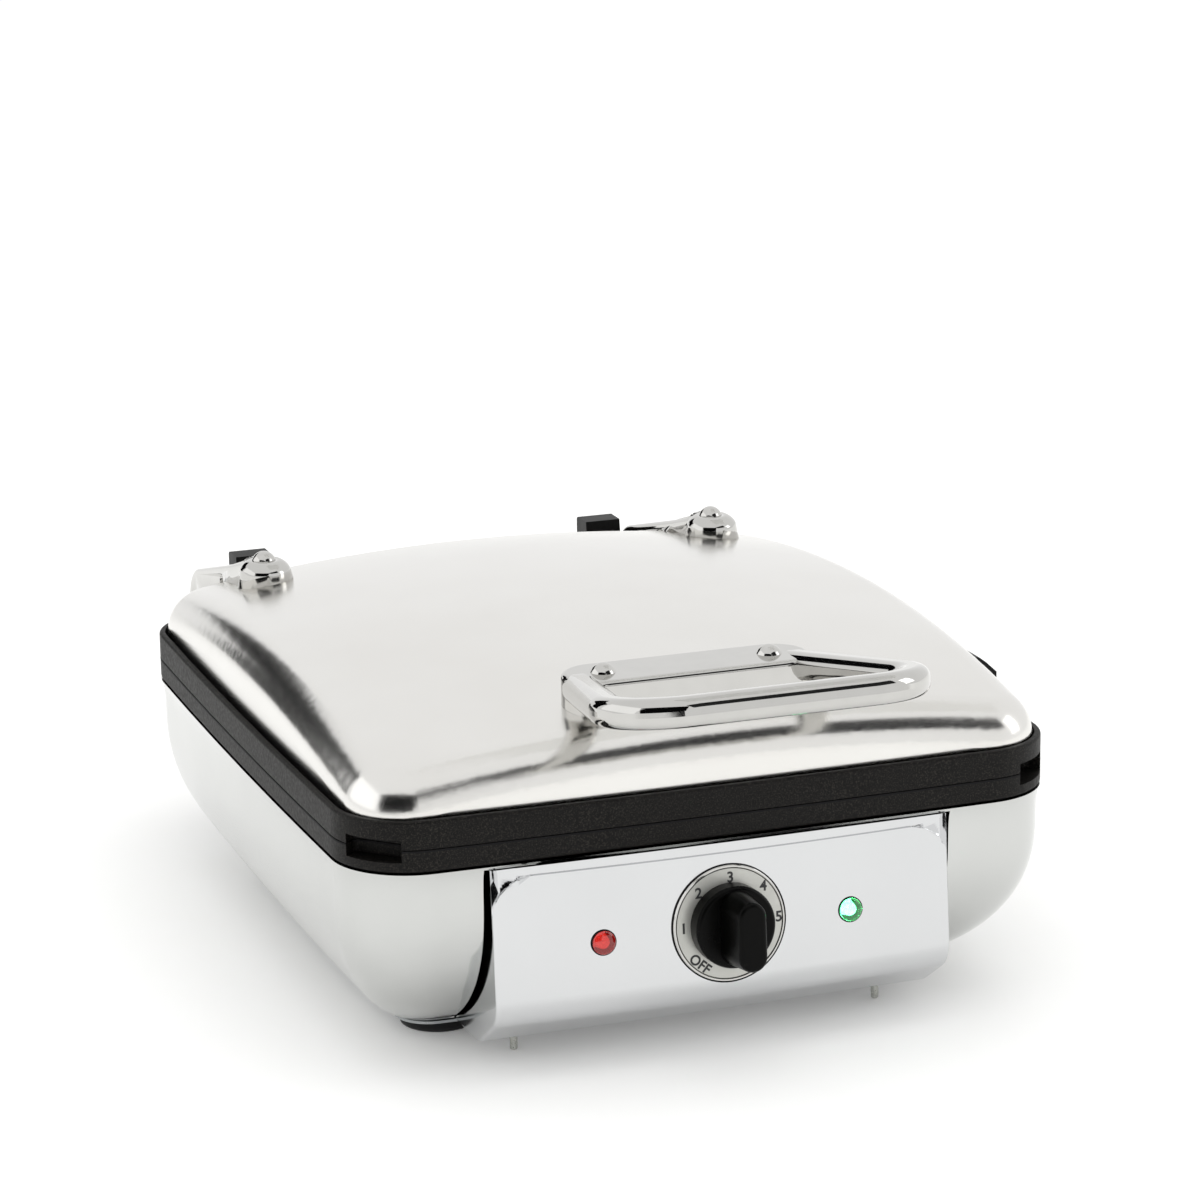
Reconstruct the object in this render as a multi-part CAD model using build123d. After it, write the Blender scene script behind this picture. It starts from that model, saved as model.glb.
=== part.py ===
from build123d import *
from math import asin, atan2, cos, hypot, radians, sin, sqrt, tan
import os

# Belgian waffle maker for the countertop: a steel bowl on rubber feet, a domed lid on two
# cast hinge arms, a pair of non-stick casting plates with four square waffle moulds, and a
# control housing with a turning thermostat.
# Millimetres. X points right, the front faces -Y, Z points up. The origin is on the ground
# under the middle of the plates. Heights called drops and rises are measured from the seam
# between the two plates.

# Cooking plates
PLATE_WIDTH = 320.0
PLATE_DEPTH = 354.1
PLATE_CORNER = 34.3
SIDE_BOW = 2.4
SEAM_GAP = 0.4
LOWER_BAND = 9.5
UPPER_BAND = 12.2
UPPER_FLANGE = 7.0
LIP_WIDTH = 2.6
LIP_CHANNEL = 2.0
BAND_ROUND = 1.2

# Waffle moulds
WAFFLE_SIDE = 122.0
DIVIDER = 8.0
MOULD_DEPTH = 13.5
MOULD_DRAFT = 8.0
MOULD_CORNER = 6.0
PEGS_PER_SIDE = 5
PEG_BASE = 14.0
PEG_DRAFT = 10.0
TIP_GAP = 5.0
TUB_WALL = 5.0
TUB_FLOOR = 4.0
TUB_CORNER = 12.0
MOAT_WIDTH = 5.0
MOAT_DEPTH = 3.0
MOAT_LAND = 4.0

# Finger notches at the two front corners
NOTCH_LENGTH = 25.6
NOTCH_DEPTH = 9.0
NOTCH_ABOVE = 4.3
NOTCH_BELOW = 5.2

# Domed lid
DOME_RADIUS = 900.0
CROWN_RISE = 53.5
DOME_SHEET = 1.2
DOME_CREASE = 19.0
DOME_CORNER = 26.0

# Base bowl
BOWL_SHEET = 1.2
RIM_GAP = 1.0
RIM_LEDGE = 8.0
WALL_LEAN = 3.6
WALL_STRAIGHT = 25.3
BOWL_RADIUS = 77.9
BOWL_TURN = 55.3
BOWL_STEPS = 5
BOWL_FLANGE = 13.0
BOWL_CORNER_EASE = 0.54
BOWL_FRONT_EASE = 1.56
RIM_STRIP = 1.2

# Control housing
PANEL_WIDTH = 203.0
PANEL_SLOT_GAP = 2.2
PANEL_TOP_GAP = 1.9
PANEL_TILT = 4.5
PANEL_REACH = 6.45
PANEL_FLOOR_RISE = 1.45
PANEL_FRONT_WALL = 2.4
PANEL_SIDE_WALL = 1.2
PANEL_CHIN_HEIGHT = 18.2
PANEL_CHIN_DEPTH = 30.0
PANEL_CHIN_ROUND = 14.0
PANEL_FOOT_ROUND = 25.0
PANEL_EDGE_ROUND = 1.5
FACE_TOP_DROP = 15.5
FACE_CORNER = 17.0
FACE_STEP = 1.2
PANEL_CUT_GAP = 0.6
PANEL_BACK_GAP = 1.0
TAB_REACH = 10.0

# Dial, knob and thermostat
DIAL_DROP = 45.3
DIAL_RADIUS = 25.4
DIAL_SHEET = 0.8
KNOB_RADIUS = 17.5
KNOB_BASE = 8.5
KNOB_HEIGHT = 27.0
KNOB_GAP = 0.4
KNOB_ROUND = 2.0
GRIP_WIDTH = 16.4
GRIP_LENGTH = 33.4
GRIP_DRAFT = 4.5
SHAFT_RADIUS = 3.0
SHAFT_SOCKET = 14.0
RUNNING_GAP = 0.05
THERMOSTAT_WIDTH = 34.0
THERMOSTAT_HEIGHT = 38.0
THERMOSTAT_DEPTH = 20.0
THERMOSTAT_CORNER = 2.0
BUSH_RADIUS = 4.9
BRACKET_SHEET = 1.6
BRACKET_EAR = 8.0
BRACKET_TRIM = 3.0
BULB_RADIUS = 3.0
BULB_LENGTH = 50.0
BLADE_WIDTH = 6.3
BLADE_SHEET = 0.8
BLADE_LENGTH = 8.0

# Signal lamps
LAMP_SPACING = 110.0
LAMP_DROP = 46.8
LENS_RADIUS = 5.1
LENS_REACH = 2.6
LENS_STEM = 4.2
LENS_STEM_LENGTH = 6.0
LAMP_BODY_RADIUS = 6.5
LAMP_BODY_LENGTH = 14.0
LAMP_PIN_RADIUS = 0.8

# Heating
ELEMENT_RADIUS = 3.5
ELEMENT_SPAN = 208.0
ELEMENT_BEND = 20.0
ELEMENT_GAP = 0.2
TERMINAL_SPACING = 44.0
TERMINAL_REACH = 16.0
REFLECTOR_SIDE = 240.0
REFLECTOR_SHEET = 0.8
REFLECTOR_RIM = 3.5
REFLECTOR_GAP = 3.5
POST_SPACING = 120.0
POST_RADIUS = 7.0
POST_NECK = 4.5
CLIP_LENGTH = 12.0
CLIP_SHEET = 1.2
FUSE_LENGTH = 24.0
FUSE_SETBACK = 40.0

# Bottom cover and feet
COVER_SHEET = 1.2
COVER_MARGIN = 1.5
VENT_LENGTH = 44.0
VENT_WIDTH = 4.0
VENT_PITCH = 12.0
VENT_COUNT = 5
FOOT_SIDE_GAP = 24.5
FOOT_FRONT_GAP = 24.5
FOOT_REAR_GAP = 22.5
FOOT_TOP = 13.0
FOOT_BOTTOM = 18.0
FOOT_ROUND = 1.0
FOOT_HEIGHT = 6.147

# Screws, rivets and pins
SCREW_RADIUS = 2.0
SCREW_HEAD = 3.8
SCREW_HEAD_HEIGHT = 2.4
SCREW_GRIP = 8.0
RIVET_HEAD = 5.5
RIVET_HEAD_HEIGHT = 3.8
RIVET_SHANK = 2.6
TIP_PIN_RADIUS = 1.65
TIP_PIN_SPACING = 165.0
TIP_PIN_FOLD_GAP = 11.0
TIP_PIN_CLEAR = 0.5

# Handle
HANDLE_RIVET_SETBACK = 40.4
HANDLE_RIVET_SPACING = 74.4
HANDLE_PLATE_WIDTH = 110.0
HANDLE_PLATE_DEPTH = 31.0
HANDLE_PLATE_CORNER = 15.4
HANDLE_PLATE_ROUND = 2.5
HANDLE_RISE = 55.0
HANDLE_BAR_WIDTH = 143.0
HANDLE_BAR = 14.0
HANDLE_SECTION = 12.5
HANDLE_SECTION_ROUND = 5.2
HANDLE_BEND = 26.0
HANDLE_BAR_REACH = 68.5
HANDLE_BAR_RISE = 68.0

# Hinge
HINGE_SETBACK = 33.0
HINGE_RISE = 4.0
ARM_SPACING = 224.0
ARM_WIDTH = 21.5
ARM_PAD_RADIUS = 13.2
ARM_PAD_LEAD = 2.0
ARM_PAD_ROUND = 4.0
ARM_RIVET_SETBACK = 52.4
ARM_TOP_RISE = 48.8
ARM_SHOULDER_SETBACK = 27.0
ARM_SHOULDER_RISE = 41.0
ARM_KNUCKLE = 20.0
ARM_EYE = 3.0
ARM_PLATE_GAP = 1.6
ARM_LIP_GAP = 1.0
ARM_TANGENT = 74.0
ARM_EDGE_ROUND = 2.5
HINGE_PIN_RADIUS = 3.0
HINGE_BUSH = 5.0
HINGE_CHEEK = 3.0
HINGE_CHEEK_GAP = 0.4
HINGE_CHEEK_ROUND = 8.0
HINGE_FOOT_TOP_DROP = 16.0
HINGE_FOOT_BOTTOM_DROP = 42.0
HINGE_FOOT_MARGIN = 6.0
PIN_HEAD = 5.0
PIN_HEAD_LENGTH = 1.5

# Rear posts
POST_BLOCK_WIDTH = 18.0
POST_BLOCK_GAP = 1.0
REAR_REACH = 59.0
REAR_POST_RISE = 25.3
REAR_POST_DROP = 64.0
REAR_POST_TOP = 14.0
REAR_POST_ROUND = 2.0

# Storage latch on the right side
LATCH_SETBACK = 60.0
LATCH_WIDTH = 17.0
LATCH_PIVOT_DROP = 22.0
LATCH_PIVOT_GAP = 8.0
LATCH_FOOT = 7.5
LATCH_PIN_RADIUS = 2.0
LATCH_REACH = 15.0
LATCH_TOP_RISE = 22.0
LATCH_HEAD_FLAT = 5.2
LATCH_HEAD_FALL = 1.0
LATCH_HEAD_SLOPE = 3.6
LATCH_NOSE_GAP = 1.2
LATCH_NOSE_RISE = 1.4
LATCH_RELIEF = 4.3
LATCH_SIDE_GAP = 0.5
LATCH_EAR = 2.5
LATCH_EAR_ROUND = 6.0
LATCH_BASE_HALF = 10.0

# Mains inlet and terminal block
GLAND_DROP = 32.0
GLAND_RADIUS = 8.0
GLAND_FLANGE = 11.0
GLAND_FLANGE_LENGTH = 4.0
GLAND_NUT_LENGTH = 5.0
GLAND_BORE = 4.0
GLAND_CUT_REACH = 30.0
BLOCK_WIDTH = 44.0
BLOCK_DEPTH = 22.0
BLOCK_HEIGHT = 16.0
BLOCK_SETBACK = 82.0

# Heights and reaches that follow from the sizes above
HALF_WIDTH = PLATE_WIDTH / 2
HALF_DEPTH = PLATE_DEPTH / 2
COVER_BOTTOM = FOOT_HEIGHT
COVER_TOP = COVER_BOTTOM + COVER_SHEET
BOWL_BOTTOM = COVER_TOP
BOWL_FALL = BOWL_RADIUS * (sin(radians(BOWL_TURN)) - sin(radians(WALL_LEAN)))
BEND_TOP = BOWL_BOTTOM + BOWL_SHEET + BOWL_FALL
RIM_TOP = BEND_TOP + WALL_STRAIGHT
SEAM_HEIGHT = RIM_TOP + RIM_GAP + LOWER_BAND
LOWER_TOP = SEAM_HEIGHT - SEAM_GAP / 2
UPPER_BOTTOM = SEAM_HEIGHT + SEAM_GAP / 2
FLANGE_TOP = SEAM_HEIGHT + UPPER_FLANGE
DOME_INSET = LIP_WIDTH + LIP_CHANNEL
MOULD_SPAN = 2 * WAFFLE_SIDE + DIVIDER
TUB_SPAN = MOULD_SPAN + 2 * TUB_WALL
TUB_BOTTOM = SEAM_HEIGHT - MOULD_DEPTH - TUB_FLOOR
TUB_ROOF = SEAM_HEIGHT + MOULD_DEPTH + TUB_FLOOR
PEG_HEIGHT = MOULD_DEPTH - TIP_GAP / 2
BOWL_FOOT_INSET = (
    WALL_STRAIGHT * tan(radians(WALL_LEAN))
    + BOWL_RADIUS * (cos(radians(WALL_LEAN)) - cos(radians(BOWL_TURN)))
)
BOWL_FOOT_DEPTH = BOWL_FRONT_EASE * BOWL_FOOT_INSET
FOOT_SIDE = HALF_WIDTH - BOWL_FOOT_INSET - FOOT_SIDE_GAP
FOOT_FRONT = HALF_DEPTH - BOWL_FOOT_DEPTH - FOOT_FRONT_GAP
FOOT_REAR = HALF_DEPTH - BOWL_FOOT_DEPTH - FOOT_REAR_GAP
DIAL_Z = SEAM_HEIGHT - DIAL_DROP
DIAL_Y = -HALF_DEPTH - PANEL_REACH
PANEL_TOP = RIM_TOP - RIM_STRIP - PANEL_TOP_GAP
PANEL_BOTTOM = BOWL_BOTTOM + PANEL_FLOOR_RISE
PANEL_DROP = SEAM_HEIGHT - PANEL_BOTTOM
PANEL_CUT_BACK = BOWL_FOOT_DEPTH - PANEL_CUT_GAP
PANEL_FLOOR_BACK = PANEL_CUT_BACK - PANEL_BACK_GAP
CHIN_TOP = PANEL_BOTTOM + PANEL_CHIN_HEIGHT
FACE_PLANE = Plane(
    origin=(0, DIAL_Y, DIAL_Z),
    x_dir=(1, 0, 0),
    z_dir=(0, -cos(radians(PANEL_TILT)), sin(radians(PANEL_TILT))),
)
HINGE_Y = HALF_DEPTH + HINGE_SETBACK
HINGE_Z = SEAM_HEIGHT + HINGE_RISE
LATCH_X = HALF_WIDTH + LATCH_PIVOT_GAP
LATCH_Z = SEAM_HEIGHT - LATCH_PIVOT_DROP
FAR = 600.0
TOUCH = 0.1


def plate_plan(inset, corner, front_inset=None):
    """Plan outline of the plates, drawn in by inset: four bowed sides, rounded corners."""
    half_w = HALF_WIDTH - inset
    half_d = HALF_DEPTH - (inset if front_inset is None else front_inset)
    x = half_w - SIDE_BOW
    y = half_d - SIDE_BOW
    corners = [(-x, -y), (x, -y), (x, y), (-x, y), (-x, -y)]
    middles = [(0, -half_d), (half_w, 0), (0, half_d), (-half_w, 0)]
    sides = [ThreePointArc(corners[i], middles[i], corners[i + 1]) for i in range(4)]
    outline = make_face(sides)
    return fillet(outline.vertices(), corner)


def plate_prism(inset, bottom, top, corner=None):
    """Upright prism on the plate outline between two heights."""
    radius = PLATE_CORNER - inset if corner is None else corner
    return extrude(Pos(0, 0, bottom) * plate_plan(inset, radius), amount=top - bottom)


def box_between(low, high):
    """Box given by its lowest and highest corners."""
    size = [high[i] - low[i] for i in range(3)]
    return Pos(*low) * Box(*size, align=(Align.MIN, Align.MIN, Align.MIN))


def side_slab(points, x_low, x_high):
    """Slab across X from an outline of (y, z) points."""
    outline = make_face(Polyline(*points, close=True))
    return extrude(Plane.YZ.offset(x_low) * outline, amount=x_high - x_low)


def bar_between(start, end, radius):
    """Round bar between two points."""
    axis = Vector(*end) - Vector(*start)
    return extrude(Plane(origin=start, z_dir=axis) * Circle(radius), amount=axis.length)


def mirrored_pair(shape):
    """A solid and its mirror image across the middle plane X = 0."""
    return [shape, mirror(shape, about=Plane.YZ)]


def solids_of(shapes):
    """One group that holds every solid of the given shapes, unfused."""
    return Compound([solid for shape in shapes for solid in shape.solids()])


def dome_height(x, y, sheet=0.0):
    """Height of the dome above a plan point, or of its inner face for a given sheet."""
    radius = DOME_RADIUS - sheet
    return SEAM_HEIGHT + CROWN_RISE - DOME_RADIUS + sqrt(radius**2 - x**2 - y**2)


def face_y(z):
    """Y of the leaning face plane of the control housing at a height."""
    return DIAL_Y + (z - DIAL_Z) * tan(radians(PANEL_TILT))


def domed_head(radius, height):
    """Rivet head standing on z = 0: a cap of a ball."""
    ball = (radius**2 + height**2) / (2 * height)
    return Pos(0, 0, height - ball) * Sphere(ball) & Pos(0, 0, height / 2) * Cylinder(radius, height)


# Cooking plates


def mould_centres():
    """Centres of the four square moulds in plan."""
    step = (WAFFLE_SIDE + DIVIDER) / 2
    return [(sx * step, sy * step) for sy in (-1, 1) for sx in (-1, 1)]


def mould_cutter(face_z, down):
    """The four drafted mould recesses, sunk from the parting face."""
    squares = [
        Pos(x, y, face_z) * fillet(Rectangle(WAFFLE_SIDE, WAFFLE_SIDE).vertices(), MOULD_CORNER)
        for x, y in mould_centres()
    ]
    depth = MOULD_DEPTH - SEAM_GAP / 2
    return [extrude(square, amount=depth, dir=(0, 0, -down), taper=MOULD_DRAFT) for square in squares]


def mould_pegs(floor_z, up):
    """Drafted square pegs that form the waffle pockets, standing on the mould floors."""
    pitch = WAFFLE_SIDE / PEGS_PER_SIDE
    pegs = []
    peg = extrude(Rectangle(PEG_BASE, PEG_BASE), amount=PEG_HEIGHT, taper=PEG_DRAFT)
    if up < 0:
        peg = mirror(peg, about=Plane.XY)
    for x, y in mould_centres():
        spots = GridLocations(pitch, pitch, PEGS_PER_SIDE, PEGS_PER_SIDE)
        pegs += [Pos(x, y, floor_z) * spot * peg for spot in spots]
    return pegs


def moat_ring(face_z, down):
    """Overflow channel that runs round the four moulds."""
    inner = MOULD_SPAN + 2 * MOAT_LAND
    outer = inner + 2 * MOAT_WIDTH
    ring = RectangleRounded(outer, outer, MOULD_CORNER + MOAT_LAND + MOAT_WIDTH)
    ring -= RectangleRounded(inner, inner, MOULD_CORNER + MOAT_LAND)
    return extrude(Pos(0, 0, face_z) * ring, amount=MOAT_DEPTH, dir=(0, 0, -down))


def finger_notches(bottom, top):
    """Round-ended finger notches across the two front corners."""
    reach = PLATE_CORNER / sqrt(2)
    corner_x = HALF_WIDTH - SIDE_BOW - PLATE_CORNER + reach
    corner_y = -(HALF_DEPTH - SIDE_BOW - PLATE_CORNER + reach)
    block = Box(NOTCH_LENGTH, 2 * NOTCH_DEPTH, top - bottom)
    block = fillet(block.edges().filter_by(Axis.Z), NOTCH_DEPTH / 3)
    right = Pos(corner_x, corner_y, (top + bottom) / 2) * Rot(0, 0, 45) * block
    return mirrored_pair(right)


def lower_plate():
    """Fixed casting: a flange band over a tub with four waffle moulds and their pegs."""
    band = plate_prism(0, LOWER_TOP - LOWER_BAND, LOWER_TOP)
    band = fillet(band.faces().sort_by(Axis.Z)[0].edges(), BAND_ROUND)
    tub_height = LOWER_TOP - TUB_BOTTOM
    tub_plan = Pos(0, 0, TUB_BOTTOM) * RectangleRounded(TUB_SPAN, TUB_SPAN, TUB_CORNER)
    tub = extrude(tub_plan, amount=tub_height)
    plate = band + tub
    for cutter in mould_cutter(LOWER_TOP, 1):
        plate -= cutter
    plate -= moat_ring(LOWER_TOP, 1)
    for notch in finger_notches(SEAM_HEIGHT - NOTCH_BELOW, SEAM_HEIGHT + NOTCH_ABOVE):
        plate -= notch
    return plate.fuse(*mould_pegs(SEAM_HEIGHT - MOULD_DEPTH, 1))


def upper_plate():
    """Lid casting: flange with a raised outer lip, a tub above it, moulds and pegs below."""
    flange = plate_prism(0, UPPER_BOTTOM, SEAM_HEIGHT + UPPER_BAND)
    flange = fillet(flange.faces().sort_by(Axis.Z)[-1].edges(), BAND_ROUND)
    flange -= plate_prism(LIP_WIDTH, FLANGE_TOP, FLANGE_TOP + UPPER_BAND)
    tub_height = TUB_ROOF - UPPER_BOTTOM
    tub_plan = Pos(0, 0, UPPER_BOTTOM) * RectangleRounded(TUB_SPAN, TUB_SPAN, TUB_CORNER)
    tub = extrude(tub_plan, amount=tub_height)
    plate = flange + tub
    for cutter in mould_cutter(UPPER_BOTTOM, -1):
        plate -= cutter
    plate -= moat_ring(UPPER_BOTTOM, -1)
    for notch in finger_notches(SEAM_HEIGHT - NOTCH_BELOW, SEAM_HEIGHT + NOTCH_ABOVE):
        plate -= notch
    return plate.fuse(*mould_pegs(SEAM_HEIGHT + MOULD_DEPTH, -1))


# Domed lid


def dome_ball(sheet):
    """Ball that forms the crown of the dome, its poles turned to the sides."""
    centre = SEAM_HEIGHT + CROWN_RISE - DOME_RADIUS
    return Pos(0, 0, centre) * Rot(0, 90, 0) * Sphere(DOME_RADIUS - sheet)


def dome_solid(sheet=0.0):
    """Solid dome: a ball cap cut by the bowed side walls, with its crease rounded."""
    inset = DOME_INSET + sheet
    corner = DOME_CORNER - sheet
    walls = plate_prism(inset, FLANGE_TOP - sheet, SEAM_HEIGHT + CROWN_RISE + 1, corner)
    ball = dome_ball(sheet)
    dome = (walls & ball).solid()
    crown = dome.faces().sort_by(Axis.Z)[-1]
    return fillet(crown.edges(), DOME_CREASE - sheet)


def rivet_spots():
    """Handle rivet and hinge rivet positions in plan on the right half."""
    handle = (HANDLE_RIVET_SPACING / 2, -(HALF_DEPTH - HANDLE_RIVET_SETBACK))
    hinge = (ARM_SPACING / 2, HALF_DEPTH - ARM_RIVET_SETBACK)
    return handle, hinge


def lid_cover(dome):
    """Pressed steel dome, open below, with the rivet holes."""
    shell = dome - dome_solid(DOME_SHEET)
    for x, y in rivet_spots():
        drill = Pos(x, y, dome_height(x, y)) * Cylinder(RIVET_SHANK, 4 * HANDLE_BAR)
        for hole in mirrored_pair(drill):
            shell -= hole
    return shell


# Base


def bowl_sections(inset, drop):
    """Plan sections of the bowl from rim to foot, drawn in by inset and ended drop lower."""
    lean = radians(WALL_LEAN)
    straight = WALL_STRAIGHT * tan(lean)
    places = [(RIM_TOP, 0.0), (BEND_TOP, straight)]
    for step in range(1, BOWL_STEPS + 1):
        angle = radians(WALL_LEAN + (BOWL_TURN - WALL_LEAN) * step / BOWL_STEPS)
        fall = BOWL_RADIUS * (sin(angle) - sin(lean))
        run = BOWL_RADIUS * (cos(lean) - cos(angle))
        places.append((BEND_TOP - fall, straight + run))
    last_z, last_run = places[-1]
    places.append((last_z - drop, last_run + drop / tan(radians(90 - BOWL_TURN))))
    sections = []
    for z, run in places:
        corner = PLATE_CORNER - inset - BOWL_CORNER_EASE * run
        sections.append(Pos(0, 0, z) * plate_plan(inset + run, corner, inset + BOWL_FRONT_EASE * run))
    return sections


def bowl_solid(inset=0.0, drop=0.0):
    """Solid form of the bowl, lofted through its plan sections."""
    return loft(Sketch() + bowl_sections(inset, drop))


def base_shell(bowl):
    """Steel bowl with an inward rim ledge, a bottom flange and the slot for the housing."""
    floor_z = BOWL_BOTTOM + BOWL_SHEET
    shell = bowl - bowl_solid(BOWL_SHEET)
    ledge = plate_prism(BOWL_SHEET / 2, RIM_TOP - BOWL_SHEET, RIM_TOP)
    ledge -= plate_prism(RIM_LEDGE, RIM_TOP - 2 * BOWL_SHEET, RIM_TOP + BOWL_SHEET)
    mouth = Pos(0, 0, BOWL_BOTTOM - 1) * cover_plan(BOWL_FLANGE - COVER_MARGIN)
    shell -= extrude(mouth, amount=floor_z + 2 - BOWL_BOTTOM)
    shell += ledge
    slot = PANEL_WIDTH / 2 + PANEL_SLOT_GAP
    slot_back = -(HALF_DEPTH - PANEL_CUT_BACK)
    shell -= box_between((-slot, -FAR, BOWL_BOTTOM - 1), (slot, slot_back, RIM_TOP - RIM_STRIP))
    gland_z = SEAM_HEIGHT - GLAND_DROP
    inside = HALF_DEPTH - GLAND_CUT_REACH
    shell -= bar_between((0, inside, gland_z), (0, HALF_DEPTH + GLAND_CUT_REACH, gland_z), GLAND_RADIUS)
    for x, y in cover_screw_spots() + tab_screw_spots():
        shell -= Pos(x, y, BOWL_BOTTOM) * Cylinder(SCREW_RADIUS, 4 * BOWL_SHEET)
    return shell


def cover_plan(inset):
    """Plan outline of the bottom cover, drawn in by inset."""
    corner = PLATE_CORNER - BOWL_CORNER_EASE * BOWL_FOOT_INSET - inset / 2
    margin = COVER_MARGIN + inset
    return plate_plan(BOWL_FOOT_INSET + margin, corner, BOWL_FOOT_DEPTH + margin)


def cover_screw_spots():
    """Screws that hold the bottom cover to the bowl flange."""
    side = HALF_WIDTH - BOWL_FOOT_INSET - BOWL_FLANGE / 2 - COVER_MARGIN
    back = HALF_DEPTH - BOWL_FOOT_DEPTH - BOWL_FLANGE / 2 - COVER_MARGIN
    return [(-side, 0), (side, 0), (-side / 2, back), (side / 2, back)]


def tab_screw_spots():
    """Screws through the rear tab of the control housing."""
    y = -(HALF_DEPTH - BOWL_FOOT_DEPTH - BOWL_FLANGE / 2 - COVER_MARGIN)
    return [(-PANEL_WIDTH / 3, y), (PANEL_WIDTH / 3, y)]


def foot_spots():
    """Centres of the four feet."""
    return [Vector(x, y, 0) for y in (-FOOT_FRONT, FOOT_REAR) for x in (-FOOT_SIDE, FOOT_SIDE)]


def post_spots():
    """Centres of the four spacer posts."""
    return [loc.position for loc in GridLocations(POST_SPACING, POST_SPACING, 2, 2)]


def bottom_cover():
    """Flat steel cover with cooling slots and screw holes."""
    cover = extrude(Pos(0, 0, COVER_BOTTOM) * cover_plan(0.0), amount=COVER_SHEET)
    for side in (-1, 1):
        middle = Pos(0, side * 1.25 * VENT_LENGTH, COVER_BOTTOM)
        slots = middle * GridLocations(VENT_PITCH, 0, VENT_COUNT, 1)
        for spot in slots:
            slot = spot * Rot(0, 0, 90) * SlotOverall(VENT_LENGTH, VENT_WIDTH)
            cover -= extrude(slot, amount=COVER_SHEET)
    holes = [(p.X, p.Y) for p in foot_spots() + post_spots()] + cover_screw_spots() + tab_screw_spots()
    for x, y in holes:
        cover -= Pos(x, y, COVER_BOTTOM) * Cylinder(SCREW_RADIUS, 4 * COVER_SHEET)
    return cover


def screw_up(head_z, grip):
    """Screw standing up from its head, its seat at head_z."""
    head = Pos(0, 0, head_z - SCREW_HEAD_HEIGHT / 2) * Cylinder(SCREW_HEAD, SCREW_HEAD_HEIGHT)
    blade = Box(2 * SCREW_HEAD, SCREW_HEAD_HEIGHT / 3, SCREW_HEAD_HEIGHT)
    slot = Pos(0, 0, head_z - SCREW_HEAD_HEIGHT) * blade
    shank = Pos(0, 0, head_z + grip / 2) * Cylinder(SCREW_RADIUS, grip)
    return head - slot + shank


def rubber_feet():
    """Four tapered rubber feet, each with a recess for its screw."""
    feet = []
    for spot in foot_spots():
        foot = Pos(0, 0, COVER_BOTTOM / 2) * Cone(FOOT_BOTTOM, FOOT_TOP, COVER_BOTTOM)
        foot = fillet(foot.edges().sort_by(Axis.Z)[0], FOOT_ROUND)
        foot -= Pos(0, 0, COVER_BOTTOM / 4) * Cylinder(SCREW_HEAD + 1, COVER_BOTTOM / 2)
        foot -= Pos(0, 0, COVER_BOTTOM / 2) * Cylinder(SCREW_RADIUS, 2 * COVER_BOTTOM)
        feet.append(Pos(spot.X, spot.Y, 0) * foot)
    return solids_of(feet)


def foot_screws():
    """Screws that hold the feet, with their nuts above the cover."""
    seat = COVER_BOTTOM / 2
    grip = COVER_TOP - seat + SCREW_GRIP / 2
    nut = extrude(RegularPolygon(SCREW_HEAD, 6), amount=SCREW_HEAD_HEIGHT)
    screws = [Pos(p.X, p.Y, 0) * (screw_up(seat, grip) + Pos(0, 0, COVER_TOP) * nut) for p in foot_spots()]
    return solids_of(screws)


def cover_screws():
    """Screws under the bottom cover into the bowl flange."""
    grip = SCREW_GRIP / 2
    return solids_of([Pos(x, y, 0) * screw_up(COVER_BOTTOM, grip) for x, y in cover_screw_spots()])


def lower_post_screws():
    """Screws through the bottom cover into the spacer posts."""
    return solids_of([Pos(p.X, p.Y, 0) * screw_up(COVER_BOTTOM, SCREW_GRIP) for p in post_spots()])


# Control housing


def tab_bottom():
    """Underside of the rear tab, which seats under the bottom cover."""
    return COVER_BOTTOM - PANEL_SIDE_WALL


def chin_foot_y():
    """Y where the chin of the housing meets its floor."""
    return face_y(CHIN_TOP) + PANEL_CHIN_DEPTH


def rounded_chin(slab, wall):
    """Slab of the housing with both folds of its chin rounded, wall inside the outer faces."""
    folds = slab.edges().filter_by(Axis.X).group_by(Axis.Z)
    slab = fillet(folds[1].sort_by(Axis.Y)[0], PANEL_CHIN_ROUND - wall)
    folds = slab.edges().filter_by(Axis.X).group_by(Axis.Z)
    return fillet(folds[0].sort_by(Axis.Y)[0], PANEL_FOOT_ROUND - wall)


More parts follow.
